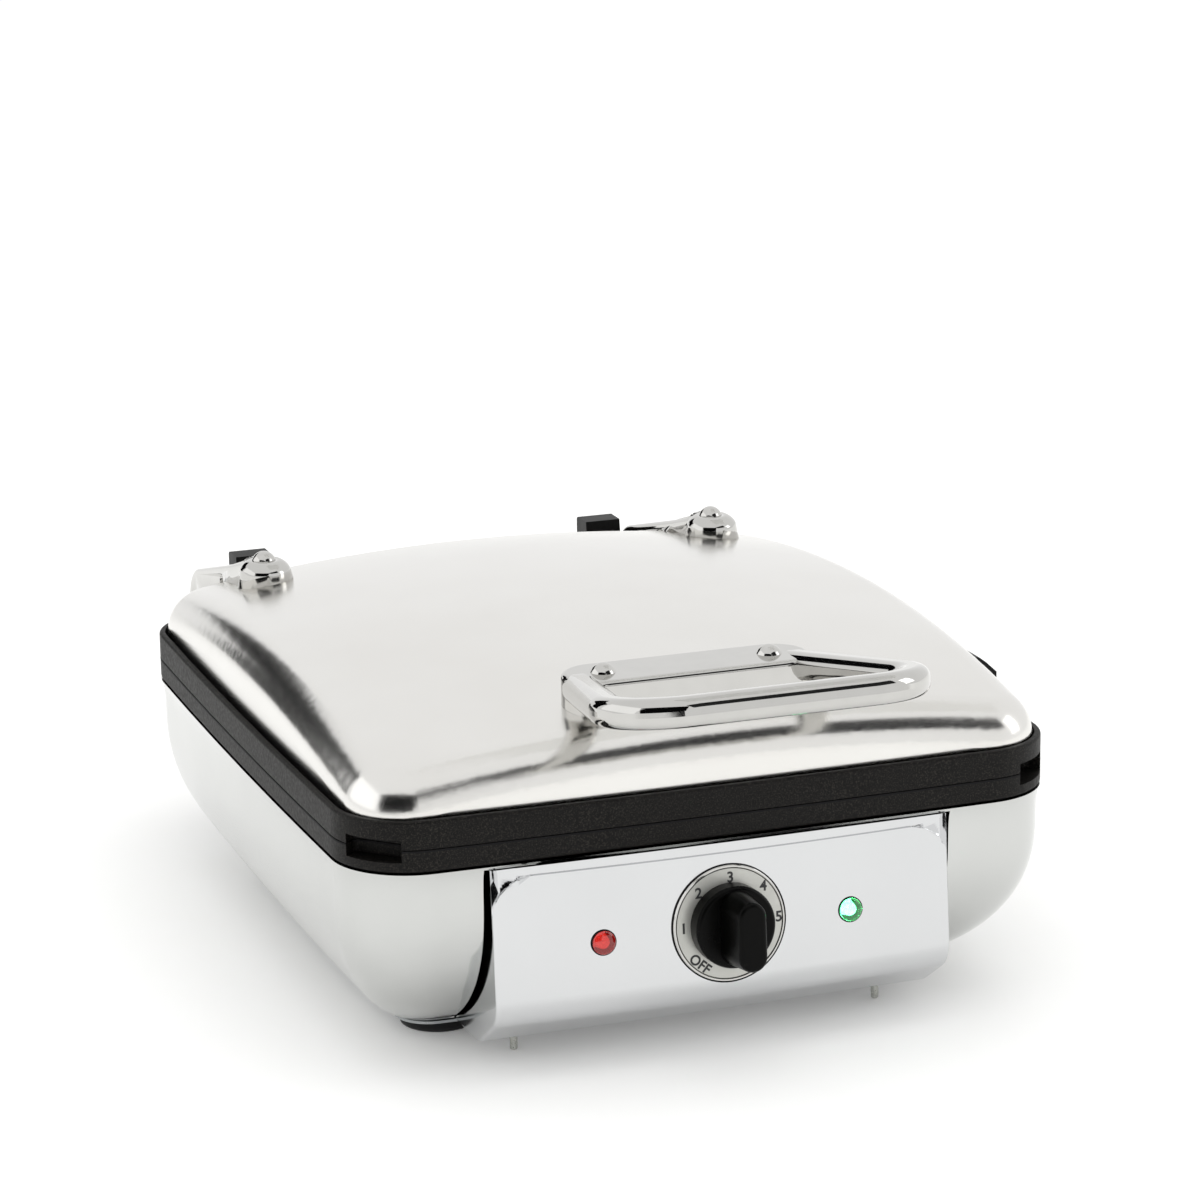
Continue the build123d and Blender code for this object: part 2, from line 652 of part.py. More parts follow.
def control_panel():
    """Housing for the controls: leaning face, sides, floor and a screwed rear tab."""
    floor_back = -(HALF_DEPTH - PANEL_FLOOR_BACK)
    rim_y = -(HALF_DEPTH - RIM_LEDGE)
    chin_y = chin_foot_y()
    outline = [
        (face_y(PANEL_TOP), PANEL_TOP),
        (face_y(CHIN_TOP), CHIN_TOP),
        (chin_y, PANEL_BOTTOM),
        (floor_back, PANEL_BOTTOM),
        (rim_y, DIAL_Z),
        (rim_y, PANEL_TOP),
    ]
    half = PANEL_WIDTH / 2
    body = rounded_chin(side_slab(outline, -half, half), 0)
    front = [
        edge for edge in body.edges()
        if edge.center().Y < DIAL_Y + PANEL_FOOT_ROUND / 3 and abs(edge.center().X) > half - 1
    ]
    body = fillet(front, PANEL_EDGE_ROUND)
    face_top = (SEAM_HEIGHT - FACE_TOP_DROP - DIAL_Z) / cos(radians(PANEL_TILT))
    border = Pos(0, face_top) * Rectangle(PANEL_WIDTH + 2, 2 * FACE_CORNER)
    raised = Pos(0, face_top - PANEL_DROP / 2) * RectangleRounded(PANEL_WIDTH, PANEL_DROP, FACE_CORNER)
    body -= extrude(FACE_PLANE * (border - raised), amount=FACE_STEP, both=True)
    inner_top = PANEL_TOP - PANEL_SIDE_WALL
    inner_floor = PANEL_BOTTOM + PANEL_SIDE_WALL
    inner_back = floor_back - PANEL_SIDE_WALL
    hollow = [
        (face_y(inner_top) + PANEL_FRONT_WALL, inner_top),
        (face_y(CHIN_TOP) + PANEL_FRONT_WALL, CHIN_TOP),
        (chin_y + PANEL_SIDE_WALL / 2, inner_floor),
        (inner_back, inner_floor),
        (inner_back, DIAL_Z - PANEL_FOOT_ROUND),
        (0, DIAL_Z - PANEL_FOOT_ROUND),
        (0, inner_top),
    ]
    cavity = side_slab(hollow, -half + PANEL_SIDE_WALL, half - PANEL_SIDE_WALL)
    body -= rounded_chin(cavity, PANEL_SIDE_WALL)
    tab_back = tab_screw_spots()[0][1] + TAB_REACH / 2
    tab_half = half - TAB_REACH
    body += box_between((-tab_half, inner_back, tab_bottom()), (tab_half, floor_back, inner_floor))
    body += box_between((-tab_half, inner_back, tab_bottom()), (tab_half, tab_back, COVER_BOTTOM))
    body -= extrude(FACE_PLANE * Circle(BUSH_RADIUS + RUNNING_GAP), amount=FAR / 20, both=True)
    for x in (-LAMP_SPACING / 2, LAMP_SPACING / 2):
        body -= extrude(FACE_PLANE * Pos(x, lamp_v()) * Circle(LENS_STEM), amount=FAR / 20, both=True)
    for x in thermostat_screw_offsets():
        body -= on_face(Circle(SCREW_HEAD), x, 0, -SCREW_HEAD_HEIGHT / 2, SCREW_HEAD_HEIGHT)
        body -= on_face(Circle(SCREW_RADIUS), x, 0, -2 * PANEL_FRONT_WALL, 2 * PANEL_FRONT_WALL)
    for x, y in tab_screw_spots():
        body -= Pos(x, y, tab_bottom()) * Cylinder(SCREW_RADIUS, 4 * PANEL_SIDE_WALL)
    for x in (-TIP_PIN_SPACING / 2, TIP_PIN_SPACING / 2):
        body -= Pos(x, tip_pin_y(), PANEL_BOTTOM) * Cylinder(TIP_PIN_RADIUS, 4 * PANEL_SIDE_WALL)
    return body


def on_face(sketch, x, v, start, length):
    """Prism of a sketch on the leaning face: start is its height above the face."""
    return extrude(FACE_PLANE.offset(start) * Pos(x, v) * sketch, amount=length)


def lamp_v():
    """Height of the lamps along the leaning face, from the dial centre."""
    return (DIAL_DROP - LAMP_DROP) / cos(radians(PANEL_TILT))


def tip_pin_y():
    """Y of the two pins, on the flat floor of the housing behind its fold."""
    return chin_foot_y() + TIP_PIN_FOLD_GAP


def thermostat_screw_offsets():
    """Offsets of the thermostat screws from the shaft, along X."""
    return (-THERMOSTAT_WIDTH / 3, THERMOSTAT_WIDTH / 3)


def panel_screws():
    """Screws through the rear tab of the housing into the bowl flange."""
    grip = SCREW_GRIP / 2 + PANEL_SIDE_WALL
    return solids_of([Pos(x, y, 0) * screw_up(tab_bottom(), grip) for x, y in tab_screw_spots()])


def anti_tip_pins():
    """Two steel pins under the housing that stop it from tipping when the lid is pushed."""
    inside = PANEL_BOTTOM + PANEL_SIDE_WALL
    pins = []
    for x in (-TIP_PIN_SPACING / 2, TIP_PIN_SPACING / 2):
        shank = bar_between((x, tip_pin_y(), TIP_PIN_CLEAR), (x, tip_pin_y(), inside), TIP_PIN_RADIUS)
        head = bar_between((x, tip_pin_y(), inside), (x, tip_pin_y(), inside + 1), 2 * TIP_PIN_RADIUS)
        tip = shank.edges().sort_by(Axis.Z)[0]
        pins.append(chamfer(tip, TIP_PIN_RADIUS / 4) + head)
    return solids_of(pins)


def dial_plate():
    """Round number plate on the leaning face."""
    ring = on_face(Circle(DIAL_RADIUS) - Circle(BUSH_RADIUS + RUNNING_GAP), 0, 0, 0, DIAL_SHEET)
    return ring


def knob():
    """Round knob with a tall round-ended grip, bored for its shaft."""
    start = DIAL_SHEET + KNOB_GAP
    base = on_face(Circle(KNOB_RADIUS), 0, 0, start, KNOB_BASE)
    rim = base.edges().sort_by(Axis.Y)[0]
    base = fillet(rim, KNOB_ROUND)
    grip_sketch = SlotOverall(GRIP_LENGTH, GRIP_WIDTH)
    grip = extrude(
        FACE_PLANE.offset(start) * Rot(0, 0, 90) * grip_sketch, amount=KNOB_HEIGHT, taper=GRIP_DRAFT
    )
    grip = fillet(grip.faces().sort_by(Axis.Y)[0].edges(), KNOB_ROUND)
    return base + grip - on_face(shaft_sketch(), 0, 0, start - 1, SHAFT_SOCKET + 1)


def shaft_sketch():
    """Section of the thermostat shaft, a circle with one flat."""
    flat = Pos(0, -1.8 * SHAFT_RADIUS) * Rectangle(3 * SHAFT_RADIUS, 2 * SHAFT_RADIUS)
    return Circle(SHAFT_RADIUS) - flat


def thermostat_shaft():
    """Turning shaft: round in its bushing, flatted in the knob."""
    start = DIAL_SHEET + KNOB_GAP
    back = -(PANEL_FRONT_WALL + BRACKET_SHEET + THERMOSTAT_DEPTH / 2)
    stem = on_face(Circle(SHAFT_RADIUS), 0, 0, back, start - back)
    return stem + on_face(shaft_sketch(), 0, 0, start, SHAFT_SOCKET)


def thermostat():
    """Thermostat case with its threaded bushing and two terminal blades."""
    front = -(PANEL_FRONT_WALL + BRACKET_SHEET)
    outline = RectangleRounded(THERMOSTAT_WIDTH, THERMOSTAT_HEIGHT, THERMOSTAT_CORNER)
    case = on_face(outline, 0, 0, front - THERMOSTAT_DEPTH, THERMOSTAT_DEPTH)
    case += on_face(Circle(BUSH_RADIUS), 0, 0, front, DIAL_SHEET - front)
    blade = Rectangle(BLADE_WIDTH, BLADE_SHEET)
    blade_start = front - THERMOSTAT_DEPTH - BLADE_LENGTH
    for x in (-THERMOSTAT_WIDTH / 4, THERMOSTAT_WIDTH / 4):
        case += on_face(blade, x, THERMOSTAT_HEIGHT / 4, blade_start, BLADE_LENGTH)
    depth = THERMOSTAT_DEPTH / 2 - front
    case -= on_face(Circle(SHAFT_RADIUS + RUNNING_GAP), 0, 0, -depth - RUNNING_GAP, depth + 2)
    for x in thermostat_screw_offsets():
        case -= on_face(Circle(SCREW_RADIUS), x, 0, front - SCREW_GRIP, SCREW_GRIP)
    return case


def thermostat_bracket():
    """Steel plate between the thermostat and the housing wall."""
    width = THERMOSTAT_WIDTH + 2 * BRACKET_EAR
    height = THERMOSTAT_HEIGHT - 2 * BRACKET_TRIM
    sketch = RectangleRounded(width, height, BRACKET_TRIM) - Circle(BUSH_RADIUS + RUNNING_GAP)
    plate = on_face(sketch, 0, 0, -(PANEL_FRONT_WALL + BRACKET_SHEET), BRACKET_SHEET)
    for x in thermostat_screw_offsets():
        plate -= on_face(Circle(SCREW_RADIUS), x, 0, -FAR / 20, FAR / 20)
    return plate


def thermostat_screws():
    """Flush screws under the dial plate that hold the thermostat."""
    seat = -SCREW_HEAD_HEIGHT / 2
    screws = []
    for x in thermostat_screw_offsets():
        head = on_face(Circle(SCREW_HEAD), x, 0, seat, -seat)
        length = PANEL_FRONT_WALL + BRACKET_SHEET + SCREW_GRIP / 2 + seat
        screws.append(head + on_face(Circle(SCREW_RADIUS), x, 0, seat - length, length))
    return solids_of(screws)


def lamp_lens(x):
    """Clear lamp cap: a flange on the face, a shallow dome and a stem through the wall."""
    flange = LENS_REACH / 3
    cap = on_face(Circle(LENS_RADIUS), x, lamp_v(), 0, flange)
    crown = LENS_REACH - flange
    ball = (LENS_RADIUS**2 + crown**2) / (2 * crown)
    sphere = FACE_PLANE * Pos(x, lamp_v(), LENS_REACH - ball) * Sphere(ball)
    cap += sphere & on_face(Circle(LENS_RADIUS), x, lamp_v(), flange, crown)
    return cap + on_face(Circle(LENS_STEM), x, lamp_v(), -LENS_STEM_LENGTH, LENS_STEM_LENGTH)


def lamp_bodies():
    """Lamp holders behind the wall, each a collar round the stem with two terminal pins."""
    bodies = []
    for x in (-LAMP_SPACING / 2, LAMP_SPACING / 2):
        collar = on_face(
            Circle(LAMP_BODY_RADIUS) - Circle(LENS_STEM), x, lamp_v(), -LENS_STEM_LENGTH,
            LENS_STEM_LENGTH - PANEL_FRONT_WALL,
        )
        body = collar + on_face(
            Circle(LAMP_BODY_RADIUS), x, lamp_v(), -LENS_STEM_LENGTH - LAMP_BODY_LENGTH, LAMP_BODY_LENGTH
        )
        for step in (-1, 1):
            body += on_face(
                Circle(LAMP_PIN_RADIUS), x + step * LAMP_BODY_RADIUS / 2, lamp_v(),
                -LENS_STEM_LENGTH - 1.4 * LAMP_BODY_LENGTH, LAMP_BODY_LENGTH / 2,
            )
        bodies.append(body)
    return solids_of(bodies)


# Heating


def element_path(z):
    """Route of a heating tube in its level plane, with both ends at the back."""
    half = ELEMENT_SPAN / 2
    end = TERMINAL_SPACING / 2
    run = half - 1.5 * ELEMENT_BEND
    points = [
        (end, half + TERMINAL_REACH), (end, run), (half, run), (half, -half), (-half, -half), (-half, run),
        (-end, run), (-end, half + TERMINAL_REACH),
    ]
    return Pos(0, 0, z) * FilletPolyline(*points, radius=ELEMENT_BEND)


def heating_element(z):
    """Sheathed heating tube with two thin terminal studs."""
    path = element_path(z)
    half = ELEMENT_SPAN / 2
    tube = sweep(Plane(origin=path @ 0, z_dir=path % 0) * Circle(ELEMENT_RADIUS), path=path)
    for x in (-TERMINAL_SPACING / 2, TERMINAL_SPACING / 2):
        start = (x, half + TERMINAL_REACH, z)
        end = (x, half + 1.5 * TERMINAL_REACH, z)
        tube += bar_between(start, end, ELEMENT_RADIUS / 2)
    return tube


def element_clips(z, tub_z):
    """Saddle clips that clamp a heating tube against its tub."""
    toward = 1 if tub_z > z else -1
    half = ELEMENT_SPAN / 2
    outer = ELEMENT_RADIUS + CLIP_SHEET
    reach = ELEMENT_RADIUS + ELEMENT_GAP
    clips = []
    for x in (-half, half):
        saddle = Box(2 * outer, CLIP_LENGTH, reach + outer)
        saddle = Pos(0, 0, (reach - outer) / 2) * saddle
        foot = Pos(0, 0, reach - CLIP_SHEET / 2) * Box(4 * outer, CLIP_LENGTH, CLIP_SHEET)
        tunnel = Rot(90, 0, 0) * Cylinder(ELEMENT_RADIUS, 2 * CLIP_LENGTH)
        slot = Pos(0, 0, reach / 2) * Box(2 * ELEMENT_RADIUS, 2 * CLIP_LENGTH, reach)
        clip = saddle + foot - tunnel - slot
        clips.append(Pos(x, 0, z) * (clip if toward > 0 else mirror(clip, about=Plane.XY)))
    return solids_of(clips)


def lower_element_z():
    """Height of the lower heating tube under its tub."""
    return TUB_BOTTOM - ELEMENT_GAP - ELEMENT_RADIUS


def upper_element_z():
    """Height of the upper heating tube over its tub."""
    return TUB_ROOF + ELEMENT_GAP + ELEMENT_RADIUS


def reflector_z(tub_z):
    """Outer face of the heat reflector that stands off a tub."""
    reach = ELEMENT_GAP + 2 * ELEMENT_RADIUS + REFLECTOR_GAP + REFLECTOR_SHEET
    return tub_z - reach if tub_z < SEAM_HEIGHT else tub_z + reach


def reflector(tub_z):
    """Shallow sheet tray that throws the heat back, holed for the spacer posts."""
    outer_z = reflector_z(tub_z)
    tray = extrude(RectangleRounded(REFLECTOR_SIDE, REFLECTOR_SIDE, TUB_CORNER), amount=REFLECTOR_RIM)
    inner = REFLECTOR_SIDE - 2 * REFLECTOR_SHEET
    tray -= Pos(0, 0, REFLECTOR_SHEET) * extrude(
        RectangleRounded(inner, inner, TUB_CORNER - REFLECTOR_SHEET), amount=REFLECTOR_RIM
    )
    for spot in post_spots():
        tray -= Pos(spot.X, spot.Y, 0) * Cylinder(POST_NECK, 4 * REFLECTOR_SHEET)
    if tub_z > SEAM_HEIGHT:
        tray = mirror(tray, about=Plane.XY)
    return Pos(0, 0, outer_z) * tray


def lower_posts():
    """Spacer posts from the bottom cover to the lower tub, shouldered for the reflector."""
    shoulder = reflector_z(TUB_BOTTOM)
    posts = []
    for spot in post_spots():
        leg = bar_between((spot.X, spot.Y, COVER_TOP), (spot.X, spot.Y, shoulder), POST_RADIUS)
        neck = bar_between((spot.X, spot.Y, shoulder), (spot.X, spot.Y, TUB_BOTTOM), POST_NECK)
        bore_top = (spot.X, spot.Y, COVER_BOTTOM + SCREW_GRIP)
        bore = bar_between((spot.X, spot.Y, COVER_BOTTOM), bore_top, SCREW_RADIUS)
        posts.append(leg + neck - bore)
    return solids_of(posts)


def upper_posts():
    """Spacer posts from the upper tub to the inside of the dome."""
    shoulder = reflector_z(TUB_ROOF)
    ball = dome_ball(DOME_SHEET)
    posts = []
    for spot in post_spots():
        neck = bar_between((spot.X, spot.Y, TUB_ROOF), (spot.X, spot.Y, shoulder), POST_NECK)
        top = dome_height(spot.X, spot.Y) + POST_RADIUS
        leg = bar_between((spot.X, spot.Y, shoulder), (spot.X, spot.Y, top), POST_RADIUS)
        posts.append(neck + (leg & ball))
    return solids_of(posts)


def sensor_bulb():
    """Thermostat bulb against the underside of the lower tub."""
    z = TUB_BOTTOM - BULB_RADIUS
    return bar_between((-BULB_LENGTH / 2, 0, z), (BULB_LENGTH / 2, 0, z), BULB_RADIUS)


def thermal_fuse():
    """One-shot fuse strapped under the lower reflector."""
    z = reflector_z(TUB_BOTTOM) - BULB_RADIUS
    half = FUSE_LENGTH / 2
    fuse = bar_between((-half, FUSE_SETBACK, z), (half, FUSE_SETBACK, z), BULB_RADIUS)
    for x in (-half, half):
        fuse += bar_between((x, FUSE_SETBACK, z), (2 * x, FUSE_SETBACK, z), BULB_RADIUS / 3)
    return fuse


def terminal_block():
    """Terminal block on the bottom cover, with two rows of screw wells."""
    y = HALF_DEPTH - BLOCK_SETBACK
    block = Pos(0, y, COVER_TOP + BLOCK_HEIGHT / 2) * Box(BLOCK_WIDTH, BLOCK_DEPTH, BLOCK_HEIGHT)
    block = fillet(block.edges().filter_by(Axis.Z), 2)
    for spot in GridLocations(BLOCK_WIDTH / 3, BLOCK_DEPTH / 2, 3, 2):
        well = Pos(0, y, COVER_TOP + BLOCK_HEIGHT) * spot * Cylinder(SCREW_RADIUS + 0.5, BLOCK_HEIGHT)
        block -= well
    return block


def cord_gland(bowl):
    """Moulded inlet bushing in the back wall: flange outside, nut inside, bored through."""
    z = SEAM_HEIGHT - GLAND_DROP
    outside = HALF_DEPTH + GLAND_FLANGE_LENGTH
    inside = HALF_DEPTH - 2 * GLAND_NUT_LENGTH - BOWL_SHEET
    flange = bar_between((0, inside + 2 * GLAND_NUT_LENGTH, z), (0, outside, z), GLAND_FLANGE)
    flange = fillet(flange.edges().sort_by(Axis.Y)[-1], GLAND_FLANGE_LENGTH / 2)
    gland = flange - bowl
    gland += bar_between((0, inside, z), (0, outside - 1, z), GLAND_RADIUS)
    hexagon = Plane(origin=(0, inside, z), z_dir=(0, 1, 0)) * RegularPolygon(GLAND_FLANGE, 6)
    gland += extrude(hexagon, amount=GLAND_NUT_LENGTH)
    return gland - bar_between((0, inside - 1, z), (0, outside + 1, z), GLAND_BORE)


# Handle


def handle(dome):
    """Cast loop handle: a riveted plate on the dome, two flaring arms and a front bar."""
    middle = -(HALF_DEPTH - HANDLE_RIVET_SETBACK)
    top = SEAM_HEIGHT + HANDLE_RISE
    bottom = dome_height(HANDLE_PLATE_WIDTH / 2, middle - HANDLE_PLATE_DEPTH / 2) - DOME_SHEET
    plate = Pos(0, middle, bottom) * extrude(
        RectangleRounded(HANDLE_PLATE_WIDTH, HANDLE_PLATE_DEPTH, HANDLE_PLATE_CORNER), amount=top - bottom
    )
    plate = fillet(plate.faces().sort_by(Axis.Z)[-1].edges(), HANDLE_PLATE_ROUND)
    start_z = top - HANDLE_SECTION / 2
    climb = HANDLE_BAR_RISE - HANDLE_RISE + HANDLE_SECTION / 2
    run = HANDLE_BAR_REACH + HANDLE_RIVET_SETBACK
    length = sqrt(run**2 + climb**2)
    loop_plane = Plane(origin=(0, middle, start_z), x_dir=(1, 0, 0), z_dir=(0, climb / length, run / length))
    start_x = (HANDLE_PLATE_WIDTH - HANDLE_BAR) / 2
    side_step = (HANDLE_BAR_WIDTH - HANDLE_BAR) / 2 - HANDLE_BEND - start_x
    front_step = length - HANDLE_BEND
    flare = atan2(side_step, front_step) + asin(HANDLE_BEND / hypot(side_step, front_step))
    bar_x = start_x + length * tan(flare)
    path = loop_plane * FilletPolyline(
        (-start_x, 0), (-bar_x, -length), (bar_x, -length), (start_x, 0), radius=HANDLE_BEND
    )
    section_plane = Plane(origin=path @ 0, x_dir=(path % 0).cross(loop_plane.z_dir), z_dir=path % 0)
    section = RectangleRounded(HANDLE_BAR, HANDLE_SECTION, HANDLE_SECTION_ROUND)
    loop = sweep(section_plane * section, path=path)
    grip = plate + loop - dome
    x, y = rivet_spots()[0]
    for hole in mirrored_pair(Pos(x, y, top) * Cylinder(RIVET_SHANK, 4 * HANDLE_BAR)):
        grip -= hole
    return grip


def rivets(spot, seat_z):
    """Pair of round-headed rivets through the dome, with washers inside it."""
    x, y = spot
    inside = dome_height(x, y, DOME_SHEET) - RIVET_HEAD_HEIGHT
    head = Pos(0, 0, seat_z) * domed_head(RIVET_HEAD, RIVET_HEAD_HEIGHT)
    shank = bar_between((0, 0, inside), (0, 0, seat_z + 1), RIVET_SHANK)
    slope_room = 1.3 * RIVET_HEAD * sqrt(x**2 + y**2) / DOME_RADIUS
    tail = bar_between((0, 0, inside - 2), (0, 0, inside + RIVET_HEAD_HEIGHT - slope_room), RIVET_HEAD)
    return solids_of(mirrored_pair(Pos(x, y, 0) * (head + shank + tail)))


# Hinge


def arm_outline():
    """Side outline of a hinge arm, from the middle of its pad to the knuckle behind."""
    pad_y = HALF_DEPTH - ARM_RIVET_SETBACK - ARM_PAD_LEAD
    top = SEAM_HEIGHT + ARM_TOP_RISE
    over_lip = SEAM_HEIGHT + UPPER_BAND + ARM_LIP_GAP
    shoulder = (HALF_DEPTH - ARM_SHOULDER_SETBACK, SEAM_HEIGHT + ARM_SHOULDER_RISE)
    lean = radians(ARM_TANGENT)
    tangent = (HINGE_Y + ARM_KNUCKLE * cos(lean), HINGE_Z + ARM_KNUCKLE * sin(lean))
    under = HINGE_Z - ARM_KNUCKLE / 2
    back = HALF_DEPTH + ARM_PLATE_GAP
    return [
        (pad_y, over_lip), (pad_y, top), (pad_y + 2 * ARM_PAD_LEAD, top), shoulder, tangent,
        (HINGE_Y, HINGE_Z), (HINGE_Y - ARM_KNUCKLE, under), (back, under), (back, over_lip),
    ]


def hinge_arm(dome):
    """Right-hand cast arm: a round pad riveted to the dome, bent down behind to its knuckle."""
    low = (ARM_SPACING - ARM_WIDTH) / 2
    high = (ARM_SPACING + ARM_WIDTH) / 2
    arm = side_slab(arm_outline(), low, high)
    arm += bar_between((low, HINGE_Y, HINGE_Z), (high, HINGE_Y, HINGE_Z), ARM_KNUCKLE)
    pad_y = HALF_DEPTH - ARM_RIVET_SETBACK - ARM_PAD_LEAD
    level = SEAM_HEIGHT + UPPER_BAND + ARM_LIP_GAP
    top_edges = [
        edge for edge in arm.edges()
        if edge.center().Z > level + ARM_LIP_GAP and edge.center().Y > pad_y + ARM_LIP_GAP
        and abs(abs(edge.center().X - ARM_SPACING / 2) - ARM_WIDTH / 2) < TOUCH
    ]
    arm = fillet(top_edges, ARM_EDGE_ROUND)
    pad_low = dome_height(high, pad_y + ARM_PAD_RADIUS) - 2 * ARM_PAD_ROUND
    top = SEAM_HEIGHT + ARM_TOP_RISE
    pad = bar_between((ARM_SPACING / 2, pad_y, pad_low), (ARM_SPACING / 2, pad_y, top), ARM_PAD_RADIUS)
    arm += fillet(pad.edges().sort_by(Axis.Z)[-1], ARM_PAD_ROUND)
    eye_y = HALF_DEPTH - ARM_SHOULDER_SETBACK / 2
    eye_z = SEAM_HEIGHT + (ARM_SHOULDER_RISE + ARM_KNUCKLE) / 2
    arm -= bar_between((low - 1, eye_y, eye_z), (high + 1, eye_y, eye_z), ARM_EYE)
    arm -= bar_between((low - 1, HINGE_Y, HINGE_Z), (high + 1, HINGE_Y, HINGE_Z), HINGE_BUSH)
    x, y = rivet_spots()[1]
    arm -= Pos(x, y, top) * Cylinder(RIVET_SHANK, 4 * ARM_TOP_RISE)
    return arm - dome


def hinge_bushes():
    """Bronze bushes in the knuckles."""
    low = ARM_SPACING / 2 - ARM_WIDTH / 2
    high = ARM_SPACING / 2 + ARM_WIDTH / 2
    bush = bar_between((low, HINGE_Y, HINGE_Z), (high, HINGE_Y, HINGE_Z), HINGE_BUSH)
    bore = HINGE_PIN_RADIUS + RUNNING_GAP
    bush -= bar_between((low - 1, HINGE_Y, HINGE_Z), (high + 1, HINGE_Y, HINGE_Z), bore)
    return solids_of(mirrored_pair(bush))


def cheek_inner_x():
    """Inner face of the outer hinge cheek."""
    return ARM_SPACING / 2 + ARM_WIDTH / 2 + HINGE_CHEEK_GAP


def hinge_brackets(bowl):
    """Steel brackets on the back wall, each with one cheek outside its arm."""
    inner = cheek_inner_x()
    outer = inner + HINGE_CHEEK
    top = SEAM_HEIGHT - HINGE_FOOT_TOP_DROP
    low = SEAM_HEIGHT - HINGE_FOOT_BOTTOM_DROP
    wall = HALF_DEPTH - WALL_STRAIGHT
    reach = HINGE_CHEEK_ROUND * 0.7
    cheek_outline = [
        (wall, low), (HALF_DEPTH + HINGE_CHEEK_ROUND, low), (HINGE_Y + reach, HINGE_Z - reach),
        (HINGE_Y - reach, HINGE_Z + reach), (HALF_DEPTH + 2, top), (wall, top),
    ]
    bracket = side_slab(cheek_outline, inner, outer)
    bracket += bar_between((inner, HINGE_Y, HINGE_Z), (outer, HINGE_Y, HINGE_Z), HINGE_CHEEK_ROUND)
    foot_inner = post_block_high() + POST_BLOCK_GAP / 2
    bracket += box_between((foot_inner, wall, low), (outer, HALF_DEPTH + HINGE_CHEEK, top))
    bracket -= bowl
    bracket -= bar_between((inner - 1, HINGE_Y, HINGE_Z), (outer + 1, HINGE_Y, HINGE_Z), HINGE_PIN_RADIUS)
    return solids_of(mirrored_pair(bracket.solids().sort_by(SortBy.VOLUME)[-1]))


def bracket_screws():
    """Screws that fasten the hinge brackets to the back wall."""
    x = (post_block_high() + cheek_inner_x()) / 2
    seat = HALF_DEPTH + HINGE_CHEEK
    screws = []
    for drop in (HINGE_FOOT_TOP_DROP + HINGE_FOOT_MARGIN, HINGE_FOOT_BOTTOM_DROP - HINGE_FOOT_MARGIN):
        z = SEAM_HEIGHT - drop
        head = bar_between((x, seat, z), (x, seat + SCREW_HEAD_HEIGHT, z), SCREW_HEAD)
        screws += mirrored_pair(fillet(head.edges().sort_by(Axis.Y)[-1], SCREW_HEAD_HEIGHT / 2))
    return solids_of(screws)


def hinge_pins():
    """Hinge pins through cheek, knuckle and rear post, each with an outer head."""
    start = ARM_SPACING / 2 - ARM_WIDTH / 2 - POST_BLOCK_GAP - POST_BLOCK_WIDTH / 2
    end = cheek_inner_x() + HINGE_CHEEK
    pin = bar_between((start, HINGE_Y, HINGE_Z), (end, HINGE_Y, HINGE_Z), HINGE_PIN_RADIUS)
    pin += bar_between((end, HINGE_Y, HINGE_Z), (end + PIN_HEAD_LENGTH, HINGE_Y, HINGE_Z), PIN_HEAD)
    return solids_of(mirrored_pair(pin))


def post_block_high():
    """Outer side of a rear post, just inside its hinge arm."""
    return ARM_SPACING / 2 - ARM_WIDTH / 2 - POST_BLOCK_GAP


def rear_posts(bowl):
    """Moulded rear posts: they hold the inner pin ends, and the unit stands on them on end."""
    high = post_block_high()
    low = high - POST_BLOCK_WIDTH
    back = HALF_DEPTH + REAR_REACH
    bottom = SEAM_HEIGHT - REAR_POST_DROP
    top = SEAM_HEIGHT + REAR_POST_RISE
    wall = HALF_DEPTH - 3 * WALL_STRAIGHT
    boss = 2 * HINGE_BUSH
    foot_z = SEAM_HEIGHT - HINGE_FOOT_TOP_DROP - HINGE_FOOT_MARGIN
    outline = [
        (wall, bottom), (back, bottom), (back, top), (back - REAR_POST_TOP, top),
        (HINGE_Y + boss, HINGE_Z + boss), (HINGE_Y - boss, HINGE_Z + boss),
        (HINGE_Y - boss, HINGE_Z - boss),
        (HALF_DEPTH, foot_z), (wall, foot_z),
    ]
    post = side_slab(outline, low, high)
    rear_edges = post.edges().filter_by(Axis.X).group_by(Axis.Y)[-1]
    post = fillet(rear_edges, REAR_POST_ROUND)
    post -= bowl
    post -= bar_between((low - 1, HINGE_Y, HINGE_Z), (high + 1, HINGE_Y, HINGE_Z), HINGE_PIN_RADIUS)
    return solids_of(mirrored_pair(post.solids().sort_by(SortBy.VOLUME)[-1]))


# Storage latch


